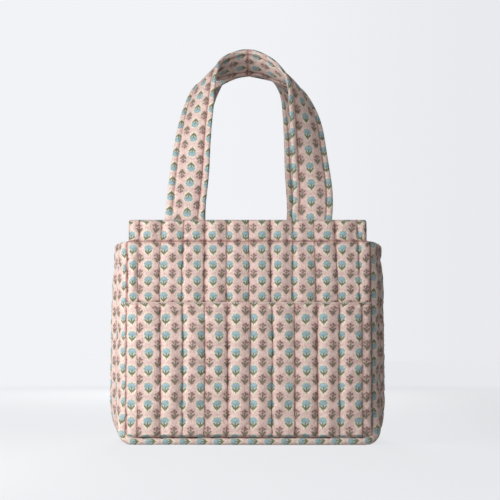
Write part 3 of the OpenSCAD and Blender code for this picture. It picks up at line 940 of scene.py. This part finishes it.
def pocket_piece():
    """The quilted pocket with its stitches."""
    own = settings()
    seed = POCKET_SEED
    heights, (x, z, channel, share, near, wide), side_gap, back = pocket_shape(CHANNEL_STEPS)
    below = POCKET_STITCH_Z - z
    seam = groove(below, 1.3 * MM)
    edge = rounded(side_gap, SIDE_ROUND) * rounded(z - SEAM_Z, BOTTOM_ROUND)
    edge = edge * rounded(POCKET_TOP - z, 1.8 * MM)
    flatter = (0.45 + 0.55 * np.clip(below / (9 * MM), 0, 1)) * (1 - 0.6 * seam)
    height = padding(flatter, x, z, wide, share, seed, own.pocket_pitch, 17 * MM)
    height = height + puckers(near, z, channel, seed + 2)
    height = height + puckers(np.abs(below), x, 0 * x, seed + 3, 0.25 * MM)
    out = back + 3.6 * MM * (0.25 + 0.75 * edge) + height * edge
    outer = settled_sheet(out, x, z, near, seam > 0.97, POCKET_TOP - 1 * MM)
    inner = sheet_at(np.minimum(back + 0.9 * MM, out - 0.4 * MM), x, z)
    flower_x, flower_z, column_seen = 4.2 * MM, 47.2 * MM, 22.6 * MM
    u = cloth_across(outer, flower_x, own.column_spacing / column_seen)
    # Sewn mark on the rows, the edge stitching and the side seams: the thread's colour with painted crease
    # shade.
    sewn = sewn_rows(near) + 0.5 * groove(below, 0.7 * MM) + 0.9 * groove(side_gap, 1.2 * MM)
    # Painted highlight: a pale, uneven band along the pocket's top fold, stored as negative values of the sewn
    # mark.
    painted_highlight = -0.32 - 0.2 * waves(x / (7 * MM), 0 * x, seed + 5)
    sewn = np.where(z > POCKET_TOP - 1.6 * MM, painted_highlight, np.clip(sewn, 0, 1))
    piece = slab("pocket", outer, inner, u, z - flower_z, sewn, printed_cotton())
    stitch_rows(FRONT, "pocket", outer, share, heights, POCKET_TOP - 1.5 * MM)
    stitch_level(FRONT, "pocket_edge", outer, int(np.argmin(np.abs(heights - POCKET_STITCH_Z))), 3 * MM)
    return bag_cloth(piece)


def pocket_lining_piece():
    """Plain lining on the inside of the pocket."""
    _, (x, z, _, share, near, _), _, back = pocket_shape(POCKET_LINING_STEPS)
    rim = POCKET_TOP - 1.2 * MM
    level = np.where(z < rim, z, rim + (z - rim) * 0.2)
    outer = sheet_at(back + 0.8 * MM, x, level)
    inner = sheet_at(back - 0.25 * MM * swell(share), x, level)
    # The sewn rows darken this lining: the thread's colour with painted crease shade.
    piece = slab("pocket_inside", outer, inner, x, z, sewn_rows(near), plain_lining())
    return bag_lining(piece)


# ---- Gusset ----

GUSSET_CORNER = 12 * MM
GUSSET_STEP = 3.0 * MM
GUSSET_SEED = 60
CHANNELS = 5
GUSSET_CHANNEL_STEPS = 9
LOW_SQUARE = 0.45
LEAST_Z = 0.1 * MM


def strip_stations():
    """Places along the strip: x, z, outward x and z, and share of the base shape; and the length so far."""
    corner, low_z = GUSSET_CORNER, SEAM_Z + GUSSET_CORNER
    found = [(-HALF_WIDTH, z, -1.0, 0.0, LOW_SQUARE * max(0.0, 1 - (z - low_z) / (32 * MM)) ** 2)
             for z in np.linspace(SIDE_TOP, low_z, int((SIDE_TOP - low_z) / GUSSET_STEP))]
    for a in np.linspace(0, math.pi / 2, 15)[1:]:
        found.append((
            corner - HALF_WIDTH - corner * math.cos(a), low_z - corner * math.sin(a),
            -math.cos(a), -math.sin(a), LOW_SQUARE + (1 - LOW_SQUARE) * math.sin(a),
        ))
    for x in np.linspace(corner - HALF_WIDTH, 0, int((HALF_WIDTH - corner) / GUSSET_STEP))[1:]:
        found.append((x, SEAM_Z, 0.0, -1.0, 1.0))
    stations = np.array(found + [(-x, z, -nx, nz, base) for x, z, nx, nz, base in reversed(found[:-1])])
    return stations, path_length(stations[:, :2] + 9 * MM * stations[:, 2:4])


def cross_section(base, shares):
    """Depth y and outward distance at shares of the strip's width, from front to back, and the width."""
    half, floor_out = GUSSET_EDGE_Y + 0.7 * MM, SEAM_Z - 0.8 * MM
    angle = np.linspace(-math.pi / 2, math.pi / 2, 400)
    side = np.column_stack([half * np.sin(angle), (SIDE_OUT - 2.4 * MM) * np.cos(angle) ** 2])
    roll = np.radians(np.linspace(-70, 90, 40))
    rolled = floor_out * (1 + np.sin(roll)) / 2
    front = np.column_stack([-half + 3 * MM - 14 * MM * np.cos(roll), rolled])
    back = np.column_stack([half - 3 * MM + 8 * MM * np.cos(roll), rolled])[::-1]
    flat = np.column_stack([np.linspace(front[-1, 0], back[0, 0], 200), np.full(200, floor_out)])
    points, width = 0, 0
    for shape, weight in ((side, 1 - base), (np.vstack([front, flat[1:-1], back]), base)):
        run = path_length(shape)
        at = shares * run[-1]
        points = points + weight * np.array([np.interp(at, run, column) for column in shape.T])
        width = width + weight * run[-1]
    return *points, width


def gusset_sheet(depth, puff=0.0, seed=GUSSET_SEED):
    """One layer of the strip at a depth below its sewn rows, with distances and outward directions."""
    stations, run = strip_stations()
    channel, share = channel_columns(CHANNELS, GUSSET_CHANNEL_STEPS)
    across = (channel + share) / CHANNELS
    points = np.zeros((len(across), len(stations), 3))
    away = np.zeros_like(points)
    near = np.zeros(points.shape[:2])
    for k, (x, z, nx, nz, base) in enumerate(stations):
        y, out, width = cross_section(base, across)
        level = max(0.0, (z - SEAM_Z) / (SIDE_TOP - SEAM_Z))
        out = out * (1.04 - (0.24 if x < 0 else 0.16) * level ** 4 * (1 - base))
        dy, do = np.gradient(y), np.gradient(out)
        size = np.hypot(dy, do)
        ny, no = -do / size, dy / size
        under = max(0.0, (base - LOW_SQUARE) / (1 - LOW_SQUARE)) * (np.abs(y) < 56 * MM)
        near[:, k] = np.minimum(share, 1 - share) * width / CHANNELS
        along = np.full_like(across, run[k])
        height = puff * swell(share) * (1 + 0.14 * waves(across * 9, along / (26 * MM), seed))
        height = height * (1 - 0.75 * under) - 0.6 * MM * under * (depth == 0)
        crease = puckers(near[:, k], along, channel, seed + 1) * (1 - 0.7 * under)
        lift = height + np.sign(puff) * crease - depth
        if depth == 0:
            seam = rounded(np.minimum(across, 1 - across) * width, 3 * MM)
            lift = lift * seam - 1.2 * MM * (1 - seam)
        spread = out + no * lift
        points[:, k] = np.column_stack([x + nx * spread, y + ny * lift, z + nz * spread])
        points[:, k, 2] = np.maximum(points[:, k, 2], LEAST_Z + depth)
        away[:, k] = np.column_stack([nx * no, ny, nz * no])
    return points, near, run, across, away


def drawn_together(outer, inner, share):
    """Two layers brought towards the middle between them, to a share of their distance."""
    middle, share = (outer + inner) / 2, share[..., None]
    return middle + (outer - middle) * share, middle + (inner - middle) * share


def strip_cloth(outer, run):
    """The strip's flat coordinates: its heads point up the left side and left along the base."""
    low_part = np.clip((SEAM_Z + 20 * MM - strip_stations()[0][:, 1]) / (20 * MM), 0, 1)
    u = arc_length(outer) - (6 + 8.5 * low_part[None, :]) * MM
    marks = np.array([(-400, -398), (-150, -149), (0, 5), (150, 156.5), (400, 412.5)]) * MM
    v = np.interp(run[-1] / 2 - run, marks[:, 0], marks[:, 1])
    return u, v[None, :] + 0 * u


def gusset_piece():
    """The quilted strip with its stitches."""
    own = settings()
    outer, near, run, across, away = gusset_sheet(0.0, own.puff)
    inner = gusset_sheet(2.7 * MM)[0]
    side = np.abs(outer[..., 0]) > HALF_WIDTH * 0.9
    top = np.where(side, rounded(SIDE_TOP - outer[..., 2], 2.4 * MM), 1.0)
    outer, inner = drawn_together(outer, inner, 0.3 + 0.7 * top)
    side = np.abs(outer[..., 0]) > HALF_WIDTH * 0.9
    hem = np.where(side, groove(outer[..., 2] - SIDE_HEM_LOW, 1.8 * MM), 0)
    outer[..., 0] -= np.sign(outer[..., 0]) * 1.5 * MM * hem
    pinned = (near < ON_ROW) | (hem > 0.9) | (outer[..., 2] < 2 * MM) | (outer[..., 2] > SIDE_TOP - 1 * MM)
    outer = settle(outer, pinned, -own.pressure)
    outer[..., 2] = np.maximum(outer[..., 2], LEAST_Z)
    edge = np.minimum(across, 1 - across)[:, None] + 0 * near
    # Sewn mark on the rows, the hem line and the edge seams: the thread's colour with painted crease shade.
    sewn = np.clip(sewn_rows(near) + 0.7 * groove(hem - 1, 0.12) + 0.9 * groove(edge, 0.008), 0, 1)
    piece = slab("gusset", outer, inner, *strip_cloth(outer, run), sewn, printed_cotton())
    face_outwards(piece)
    below = outer[..., 2].max(axis=0) < SIDE_TOP - 2 * MM
    shares = np.round(across * CHANNELS, 6)
    rows = [c for c in range(1, len(across) - 1) if shares[c] == round(shares[c])]
    lines = [(outer[c, below], away[c, below]) for c in rows]
    bag_stitching("gusset_row_stitches", lines, "gusset_quilting")
    from_hem = np.abs(outer[len(across) // 2, :, 2] - SIDE_HEM_LOW)
    reach = 40
    found = (int(np.argmin(from_hem[:reach])), int(np.argmin(from_hem[-reach:])) + len(run) - reach)
    lines = [(outer[2:-2, k], away[2:-2, k]) for k in found]
    bag_stitching("side_hem_stitches", lines, "side_hem_stitch")
    return bag_cloth(piece)


def gusset_lining_piece():
    """Plain lining on the inside of the strip."""
    outer, near, run, _, _ = gusset_sheet(2.8 * MM)
    inner = gusset_sheet(3.6 * MM, -1.5 * MM, GUSSET_SEED + 6)[0]
    # The sewn rows darken this lining: the thread's colour with painted crease shade.
    piece = slab("gusset_inside", outer, inner, *strip_cloth(outer, run), sewn_rows(near), plain_lining())
    face_outwards(piece)
    return bag_lining(piece)


def side_hem_piece(hand, word):
    """Top hem of one side, folded to the inside."""
    outer, inner = gusset_sheet(3.7 * MM)[0], gusset_sheet(7.6 * MM)[0]
    middle = outer[outer.shape[0] // 2]
    ours = (middle[:, 2] > SIDE_HEM_LOW - 2 * MM) & (np.sign(middle[:, 0]) == hand)
    outer, inner = outer[3:-3, ours], inner[3:-3, ours]
    z = outer[..., 2]
    rim = np.sqrt(np.clip((z - z.min()) / (3 * MM), 0, 1)) * rounded(SIDE_TOP - z, 2.2 * MM)
    outer, inner = drawn_together(outer, inner, 0.15 + 0.85 * rim)
    u = arc_length(outer)
    piece = slab(f"{word}_top_hem", outer, inner, u, -outer[..., 2], 0 * u, printed_cotton())
    face_outwards(piece)
    return bag_cloth(piece)


# ---- Straps ----

LEAN = (0.00, 0.03, 0.10, 0.24, 0.44, 0.60, 0.79, 0.94, 1.00)
FOOT_X = 77.2 * MM
FACE_HALF = 16 * MM
ROLL = 8 * MM
STRAP_HALF = FACE_HALF + ROLL
ENDS_HALF = 23 * MM
ROUTE_STEPS = 10
ROUTE_SOFTENING = 34 * MM
ARCH_TILT = 28.5
ARCH_RISE = 204.3 * MM
ABOVE_PANEL = 0.3 * MM
STRAP_BACK_Y = -(low("front_handle_ends").y + high("front_handle_ends").y) / 2


def leg(foot, rise, twist):
    """Shares of the foot's distance, of the lean, of the rise and of the twist, from foot to arch."""
    return np.column_stack([foot, LEAN, rise, twist])


BACK_TWIST = (0.00, 0.03, 0.19, 0.33, 0.54, 0.69, 0.86, 0.96, 1.00)
# The left and the right leg of each strap
LEGS = {
    FRONT: (
        leg(
            (1.00, 0.94, 0.89, 0.82, 0.72, 0.63, 0.50, 0.30, 0.00),
            (0.00, 0.24, 0.43, 0.62, 0.81, 0.89, 0.94, 0.97, 1.00),
            (0.00, 0.06, 0.19, 0.30, 0.47, 0.63, 0.86, 0.95, 1.00),
        ),
        leg(
            (1.00, 1.02, 0.96, 0.91, 0.80, 0.68, 0.50, 0.26, 0.00),
            (0.00, 0.16, 0.40, 0.61, 0.79, 0.87, 0.92, 0.975, 1.00),
            (0.00, 0.03, 0.19, 0.33, 0.54, 0.69, 0.86, 0.92, 1.00),
        ),
    ),
    BACK: (
        leg(
            (1.00, 1.00, 0.94, 0.87, 0.74, 0.60, 0.43, 0.22, 0.00),
            (0.00, 0.16, 0.40, 0.61, 0.78, 0.87, 0.93, 0.98, 1.00),
            BACK_TWIST,
        ),
        leg(
            (1.00, 1.02, 0.96, 0.91, 0.80, 0.68, 0.50, 0.26, 0.00),
            (0.00, 0.16, 0.40, 0.61, 0.80, 0.90, 0.95, 0.98, 1.00),
            BACK_TWIST,
        ),
    ),
}


def half_thickness(u):
    """Half the strap's thickness at a distance from its middle."""
    a = np.abs(u)
    stitch, crown, roll = 1.5 * MM, 4.0 * MM, 2.7 * MM
    face = stitch + (crown - stitch) * np.power(np.clip(np.cos(math.pi / 2 * a / FACE_HALF), 0, 1), 0.6)
    share = (a - FACE_HALF - ROLL / 2) / (ROLL / 2)
    edge = roll * np.sqrt(np.clip(1 - share ** 2, 0, 1))
    return np.where(a <= FACE_HALF, face, np.where(share < 0, np.maximum(edge, stitch), edge))


def smooth_curve(points, steps):
    """A curve through rows of points, with each first and last step carried on past its end."""
    count = len(points)
    points = np.vstack([2 * points[0] - points[1], points, 2 * points[-1] - points[-2]])
    t = np.linspace(0, count - 1, steps * (count - 1) + 1)
    i = np.minimum(t.astype(int), count - 2)
    t = (t - i)[:, None]
    p0, p1, p2, p3 = (points[i + k] for k in range(4))
    square, cube = 2 * p0 - 5 * p1 + 4 * p2 - p3, 3 * p1 - p0 - 3 * p2 + p3
    return 0.5 * (2 * p1 + (p2 - p0) * t + square * t ** 2 + cube * t ** 3)


def evened(curve, width):
    """The same curve at even steps, with its small bumps rounded out and its ends kept."""
    run = path_length(curve[:, :3])
    even = np.linspace(0, run[-1], len(run))
    curve = np.column_stack([np.interp(even, run, column) for column in curve.T])
    half = int(round(width / 2 / even[1]))
    weights = np.hanning(2 * half + 3)[1:-1]
    weights /= weights.sum()
    ahead = 2 * curve[0] - curve[half:0:-1]
    behind = 2 * curve[-1] - curve[-2:-half - 2:-1]
    longer = np.vstack([ahead, curve, behind])
    return np.column_stack([np.convolve(column, weights, mode="valid") for column in longer.T])


def arch_place():
    """How far the strap leans in up to its arch, the angle of that lean, and the tilt of the arch's face."""
    tilt = math.radians(ARCH_TILT)
    corners = np.array([FACE_HALF + 0.9 * ROLL, FACE_HALF + ROLL / 2, FACE_HALF, 0])
    reach = max(
        STRAP_HALF * math.cos(tilt),
        *(corners * math.cos(tilt) + half_thickness(corners) * math.sin(tilt)),
    )
    lean_run = STRAP_BACK_Y - 0.15 * MM - reach
    return lean_run, math.atan2(lean_run, ARCH_RISE), tilt


def strap_route(left_leg, right_leg):
    """Centre, direction across and direction out of the strap's face, at each step along it."""
    lean_run, lean, tilt = arch_place()
    normal = np.array([0, -math.cos(lean), math.sin(lean)])
    rows = np.vstack([left_leg, right_leg[-2::-1]])
    hand = np.where(np.arange(len(rows)) < len(left_leg), -1.0, 1.0)
    curve = smooth_curve(np.column_stack([
        hand * rows[:, 0] * FOOT_X,
        -STRAP_BACK_Y + rows[:, 1] * lean_run,
        PANEL_TOP + ABOVE_PANEL + rows[:, 2] * (ARCH_RISE - ABOVE_PANEL),
        rows[:, 3] * (math.pi / 2 + tilt - lean),
    ]), ROUTE_STEPS)
    curve = evened(curve, ROUTE_SOFTENING)
    centre, turn = curve[:, :3], curve[:, 3]
    up = np.array([0, 0, 1.0])
    tangent = np.gradient(centre, axis=0)
    tangent[0], tangent[-1] = up, -up
    sewn_in = np.arange(PANEL_TOP - SIDE_TOP - 1 * MM, 1 * MM, -3 * MM)
    count = len(sewn_in)
    feet = [end - up * sewn_in[:, None] for end in (centre[0], centre[-1])]
    centre = np.vstack([feet[0], centre, feet[1][::-1]])
    tangent = np.vstack([np.tile(up, (count, 1)), unit(tangent), np.tile(-up, (count, 1))])
    turn = np.pad(turn, count)[:, None]
    across = np.cos(turn) * unit(np.cross(tangent, normal)) + np.sin(turn) * normal
    across = unit(across - tangent * np.sum(across * tangent, axis=1)[:, None])
    return centre, across, np.cross(tangent, across), path_length(centre)


def strap_flatness(centre):
    """1 where the strap is sewn in flat below the panel's edge, and 0 a little above it."""
    t = np.clip((PANEL_TOP + 9 * MM - centre[:, 2]) / (11 * MM), 0, 1)
    return t * t * (3 - 2 * t)


def section_points():
    """Distances across one face of the strap."""
    face = [FACE_HALF * math.sin(math.pi / 2 * k / 9) for k in range(-9, 10)]
    roll = [FACE_HALF + ROLL / 2 * (1 - math.cos(math.pi * k / 8)) for k in range(1, 9)]
    return np.array([-u for u in reversed(roll)] + face + roll)


def strap_print(centre, run):
    """The cloth's length coordinate along a strap: its flowers point to the left foot."""
    foot = 30
    first = np.interp(PANEL_TOP, centre[:foot, 2], run[:foot])
    last = np.interp(-PANEL_TOP, -centre[-foot:, 2], run[-foot:])
    left, right = first + 26 * MM, last - 24 * MM
    repeat = settings().repeat
    start = 2.3 * MM
    end = start - repeat * round((right - left) / repeat)
    places = np.array([first - 30 * MM, first + 200 * MM, last - 200 * MM, last + 30 * MM])
    values = np.concatenate([start + 1.11 * (left - places[:2]), end + 0.98 * (right - places[2:])])
    return np.interp(run, places, values)


def strap_piece(side, word, seed):
    """One padded strap, its ends sewn in flat, and the lines of its two rows of stitches on each face."""
    centre, across, out, run = strap_route(*LEGS[side])
    one_face = section_points()
    count = len(one_face)
    u = np.concatenate([one_face, one_face[-2:0:-1]])
    side_of = np.concatenate([-np.ones(count), np.ones(count - 2)])
    near = np.abs(np.abs(u) - FACE_HALF)
    rim = rounded(STRAP_HALF - np.abs(u), 1.4 * MM)
    along, flat = run[:, None], strap_flatness(centre)[:, None]
    from_join = along - run[-1] / 2
    lift = half_thickness(u) * (1 + 0.10 * waves(along / (20 * MM), u / (18 * MM) + side_of, seed))
    crease = waves(along / (1.7 * MM), np.sign(u) + side_of * 2, seed + 1, 7)
    lift = lift + 0.28 * MM * np.exp(-near / (3.5 * MM)) * crease
    lift = lift * (1 - 0.35 * groove(from_join, 2.2 * MM))
    lift = np.maximum(lift, 0) * (np.abs(u) < STRAP_HALF - 1e-6)
    lift = lift * (1 - flat) + 1.45 * MM * flat * rim
    sway = 0.35 * MM * waves(along / (22 * MM), np.sign(u) * 4.0, seed + 5) * (1 - flat)
    width = u * (1 + sway / ENDS_HALF)
    rings = centre[:, None] + width[..., None] * across[:, None] + (side_of * lift)[..., None] * out[:, None]
    turn = np.array([1, side, 1])
    rings = rings * turn
    # Sewn mark on the strap's rows and its middle join: the thread's colour with painted crease shade.
    sewn = np.maximum(sewn_rows(near) * (1 - flat), 0.9 * groove(from_join, 1.0 * MM))
    u_cloth = np.where(side_of < 0, u - 2.5 * MM, u + 5.0 * MM) * side + 0 * along
    v_cloth = strap_print(centre, run)[:, None] + 0 * u
    piece = tube(f"{word}_strap", rings, u_cloth, v_cloth, sewn, printed_cotton())
    free = flat[:, 0] < 0.4
    lines = [(rings[free, j], out[free] * side_of[j] * turn) for j in np.flatnonzero(near < ON_ROW)]
    return piece, lines


# ---- Stage ----

FLOOR_NEAR, FLOOR_FAR = 1.35, 1.60
FLOOR_GLOW = 0.6
FLOOR_FROM, FLOOR_TO = 1.5, 2.8
WORLD_FILL = 0.15
EYE = (-0.0384, -1.5, 0.11)
LAMPS = (
    ("key", (-0.70, -0.50, 0.24), (0, -0.05, 0.16), 0.45, 5.1, (1.0, 0.99, 0.975)),
    ("front", (-0.25, -1.9, 0.7), (0, 0, 0.2), 0.8, 13.6, (1.0, 1.0, 1.0)),
    ("back", (-0.1, 1.9, 0.9), (0, 0, 0.2), 0.8, 18.0, (1.0, 0.995, 0.985)),
)


def seen_directly(g):
    """1 for what the camera, a gloss or a glass shows, and 0 for what lights the bag."""
    path = g.node("ShaderNodeLightPath").outputs
    return g.highest([path["Is Camera Ray"], path["Is Glossy Ray"], path["Is Transmission Ray"]])


def mixed_output(g, output, factor, first, second):
    """Joins two shaders and gives the mix to the tree's output."""
    mix = g.node("ShaderNodeMixShader", {0: factor, 1: first.outputs[0], 2: second.outputs[0]})
    g.feed(g.tree.nodes[output].inputs["Surface"], mix.outputs[0])


def floor_nodes(g, shader):
    place = g.node("ShaderNodeTexCoord").outputs["Object"]
    grain = g.product(g.noise(place, 60.0, 4.0), 0.04)
    g.feed(shader.inputs["Base Color"], g.blend(grain, (0.42, 0.425, 0.43, 1), (0.32, 0.32, 0.33, 1)))
    reach = g.ramp(g.vector("LENGTH", place), FLOOR_FROM, FLOOR_TO)
    strength = g.math("ADD", FLOOR_NEAR, g.product(reach, FLOOR_FAR - FLOOR_NEAR))
    # Painted shadow: the floor's glow is dimmed towards the right, where the bag's shadow falls.
    strength = g.math("SUBTRACT", strength, g.product(g.ramp(g.part(place, "X"), 0.1, 0.6), 0.15))
    inputs = {"Color": tuple(settings().stage_colour), "Strength": strength}
    glow = g.node("ShaderNodeEmission", inputs)
    mixed_output(g, "Material Output", g.product(seen_directly(g), FLOOR_GLOW), shader, glow)


def floor_paper():
    """Pale paper that shows at its own colour to the camera and still takes a soft shadow, with painted shade
    that dims its glow towards the right.
    """
    return shared_material("Floor paper", {"Roughness": 0.95, "Specular IOR Level": 0.1}, floor_nodes)


def studio_world(scene):
    """Pale surroundings, with painted shade darker towards the right, and a dim even fill that lights the bag.
    """
    world = bpy.data.worlds.new("studio")
    scene.world = world
    world.use_nodes = True
    g = Graph(world.node_tree)
    fill = world.node_tree.nodes["Background"]
    fill.inputs["Color"].default_value = (1.0, 0.91, 0.84, 1)
    fill.inputs["Strength"].default_value = WORLD_FILL
    # Painted shade: the backdrop shown to the camera darkens by up to 8% towards the right.
    painted_shade_to_right = g.ramp(g.part(g.node("ShaderNodeTexCoord").outputs["Generated"], "X"), 0.0, 0.22)
    strength = g.math("SUBTRACT", 1.0, g.product(painted_shade_to_right, 0.08))
    inputs = {"Color": tuple(settings().stage_colour), "Strength": strength}
    pale = g.node("ShaderNodeBackground", inputs)
    mixed_output(g, "World Output", seen_directly(g), fill, pale)


def floor():
    """Round floor, wide enough to meet the surroundings out of sight."""
    deselect_all()
    bpy.ops.mesh.primitive_circle_add(vertices=96, radius=14, fill_type="NGON")
    piece = bpy.context.object
    piece.name = piece.data.name = "floor"
    bpy.ops.object.mode_set(mode="EDIT")
    bpy.ops.mesh.inset(thickness=12)
    bpy.ops.object.mode_set(mode="OBJECT")
    dress(piece, floor_paper())


def area_light(name, place, target, size, power, colour):
    light = bpy.data.lights.new(name, "AREA")
    light.shape = "DISK"
    light.size = size
    light.energy = power
    light.color = colour
    lamp = bpy.data.objects.new(name, light)
    lamp.location = place
    lamp.rotation_euler = (Vector(target) - Vector(place)).to_track_quat("-Z", "Y").to_euler()
    bpy.context.collection.objects.link(lamp)


def camera():
    """The camera, a little above the bag's base and looking slightly up."""
    lens = bpy.data.cameras.new("camera")
    lens.lens = 85.75
    lens.sensor_width = 36.0
    lens.shift_x = 0.0666
    lens.shift_y = 0.08
    lens.clip_end = 30.0
    eye = bpy.data.objects.new("camera", lens)
    eye.location = EYE
    eye.rotation_euler = (math.pi / 2 + math.radians(3.0), 0, 0)
    bpy.context.collection.objects.link(eye)
    return eye


# ---- Steps ----


class BAG_OT_stage(bpy.types.Operator):
    """Camera, soft light, pale floor and backdrop"""

    bl_idname = "knitting_bag.stage"
    bl_label = "Stage"

    def execute(self, context):
        scene = context.scene
        scene.view_settings.view_transform = "Standard"
        scene.camera = camera()
        floor()
        for lamp in LAMPS:
            area_light(*lamp)
        studio_world(scene)
        return {"FINISHED"}


class BAG_OT_panels(bpy.types.Operator):
    """Quilted front and back panels with their lining, top hem and bound seams"""

    bl_idname = "knitting_bag.panels"
    bl_label = "Panels"

    def execute(self, context):
        for (side, word), seed in zip(SIDES, (3, 23)):
            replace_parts(panel_piece(side, word, seed), f"{word}_cover", f"{word}_wadding")
            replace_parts(lining_piece(side, word, seed), f"{word}_lining")
            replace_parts(hem_piece(side, word, seed + 9), f"{word}_hem")
            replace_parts(binding_piece(side, word, seed + 11), f"{word}_seam_binding")
        return {"FINISHED"}


class BAG_OT_pocket(bpy.types.Operator):
    """Quilted pocket across the front, and its lining"""

    bl_idname = "knitting_bag.pocket"
    bl_label = "Pocket"

    def execute(self, context):
        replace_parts(pocket_piece(), "pocket_cover", "pocket_wadding")
        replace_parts(pocket_lining_piece(), "pocket_lining")
        return {"FINISHED"}


class BAG_OT_gusset(bpy.types.Operator):
    """Quilted strip round the sides and base, its lining and its top hems"""

    bl_idname = "knitting_bag.gusset"
    bl_label = "Gusset"

    def execute(self, context):
        parts = ("left_side", "base", "right_side")
        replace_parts(gusset_piece(), *[f"{part}_{layer}" for part in parts for layer in ("cover", "wadding")])
        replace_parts(gusset_lining_piece(), *[f"{part}_lining" for part in parts])
        for hand, word in ((-1, "left"), (1, "right")):
            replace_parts(side_hem_piece(hand, word), f"{word}_hem")
        return {"FINISHED"}


class BAG_OT_straps(bpy.types.Operator):
    """Padded front and back straps and their stitching"""

    bl_idname = "knitting_bag.straps"
    bl_label = "Straps"

    def execute(self, context):
        for (side, word), seed in zip(SIDES, (80, 90)):
            piece, lines = strap_piece(side, word, seed)
            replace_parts(piece, *[f"{word}_handle_{part}" for part in ("cover", "padding", "ends")])
            threads = stitching(f"{word}_strap_stitches", lines, f"{word}_handle_topstitch")
            for part in (piece, threads):
                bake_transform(part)
        return {"FINISHED"}


class BAG_PT_panel(bpy.types.Panel):
    """Steps that build the bag"""

    bl_idname = "BAG_PT_panel"
    bl_label = "Knitting bag"
    bl_space_type = "VIEW_3D"
    bl_region_type = "UI"
    bl_category = "Knitting bag"

    def draw(self, context):
        for step in STEPS:
            self.layout.operator(step.bl_idname)


STEPS = (BAG_OT_stage, BAG_OT_panels, BAG_OT_pocket, BAG_OT_gusset, BAG_OT_straps)
CLASSES = (BagSettings, *STEPS, BAG_PT_panel)


def register():
    for item in CLASSES:
        bpy.utils.register_class(item)
    bpy.types.Scene.knitting_bag = bpy.props.PointerProperty(type=BagSettings)


def unregister():
    del bpy.types.Scene.knitting_bag
    for item in reversed(CLASSES):
        bpy.utils.unregister_class(item)


def main():
    register()
    for step in STEPS:
        group, name = step.bl_idname.split(".")
        getattr(getattr(bpy.ops, group), name)()


if __name__ == "__main__":
    main()
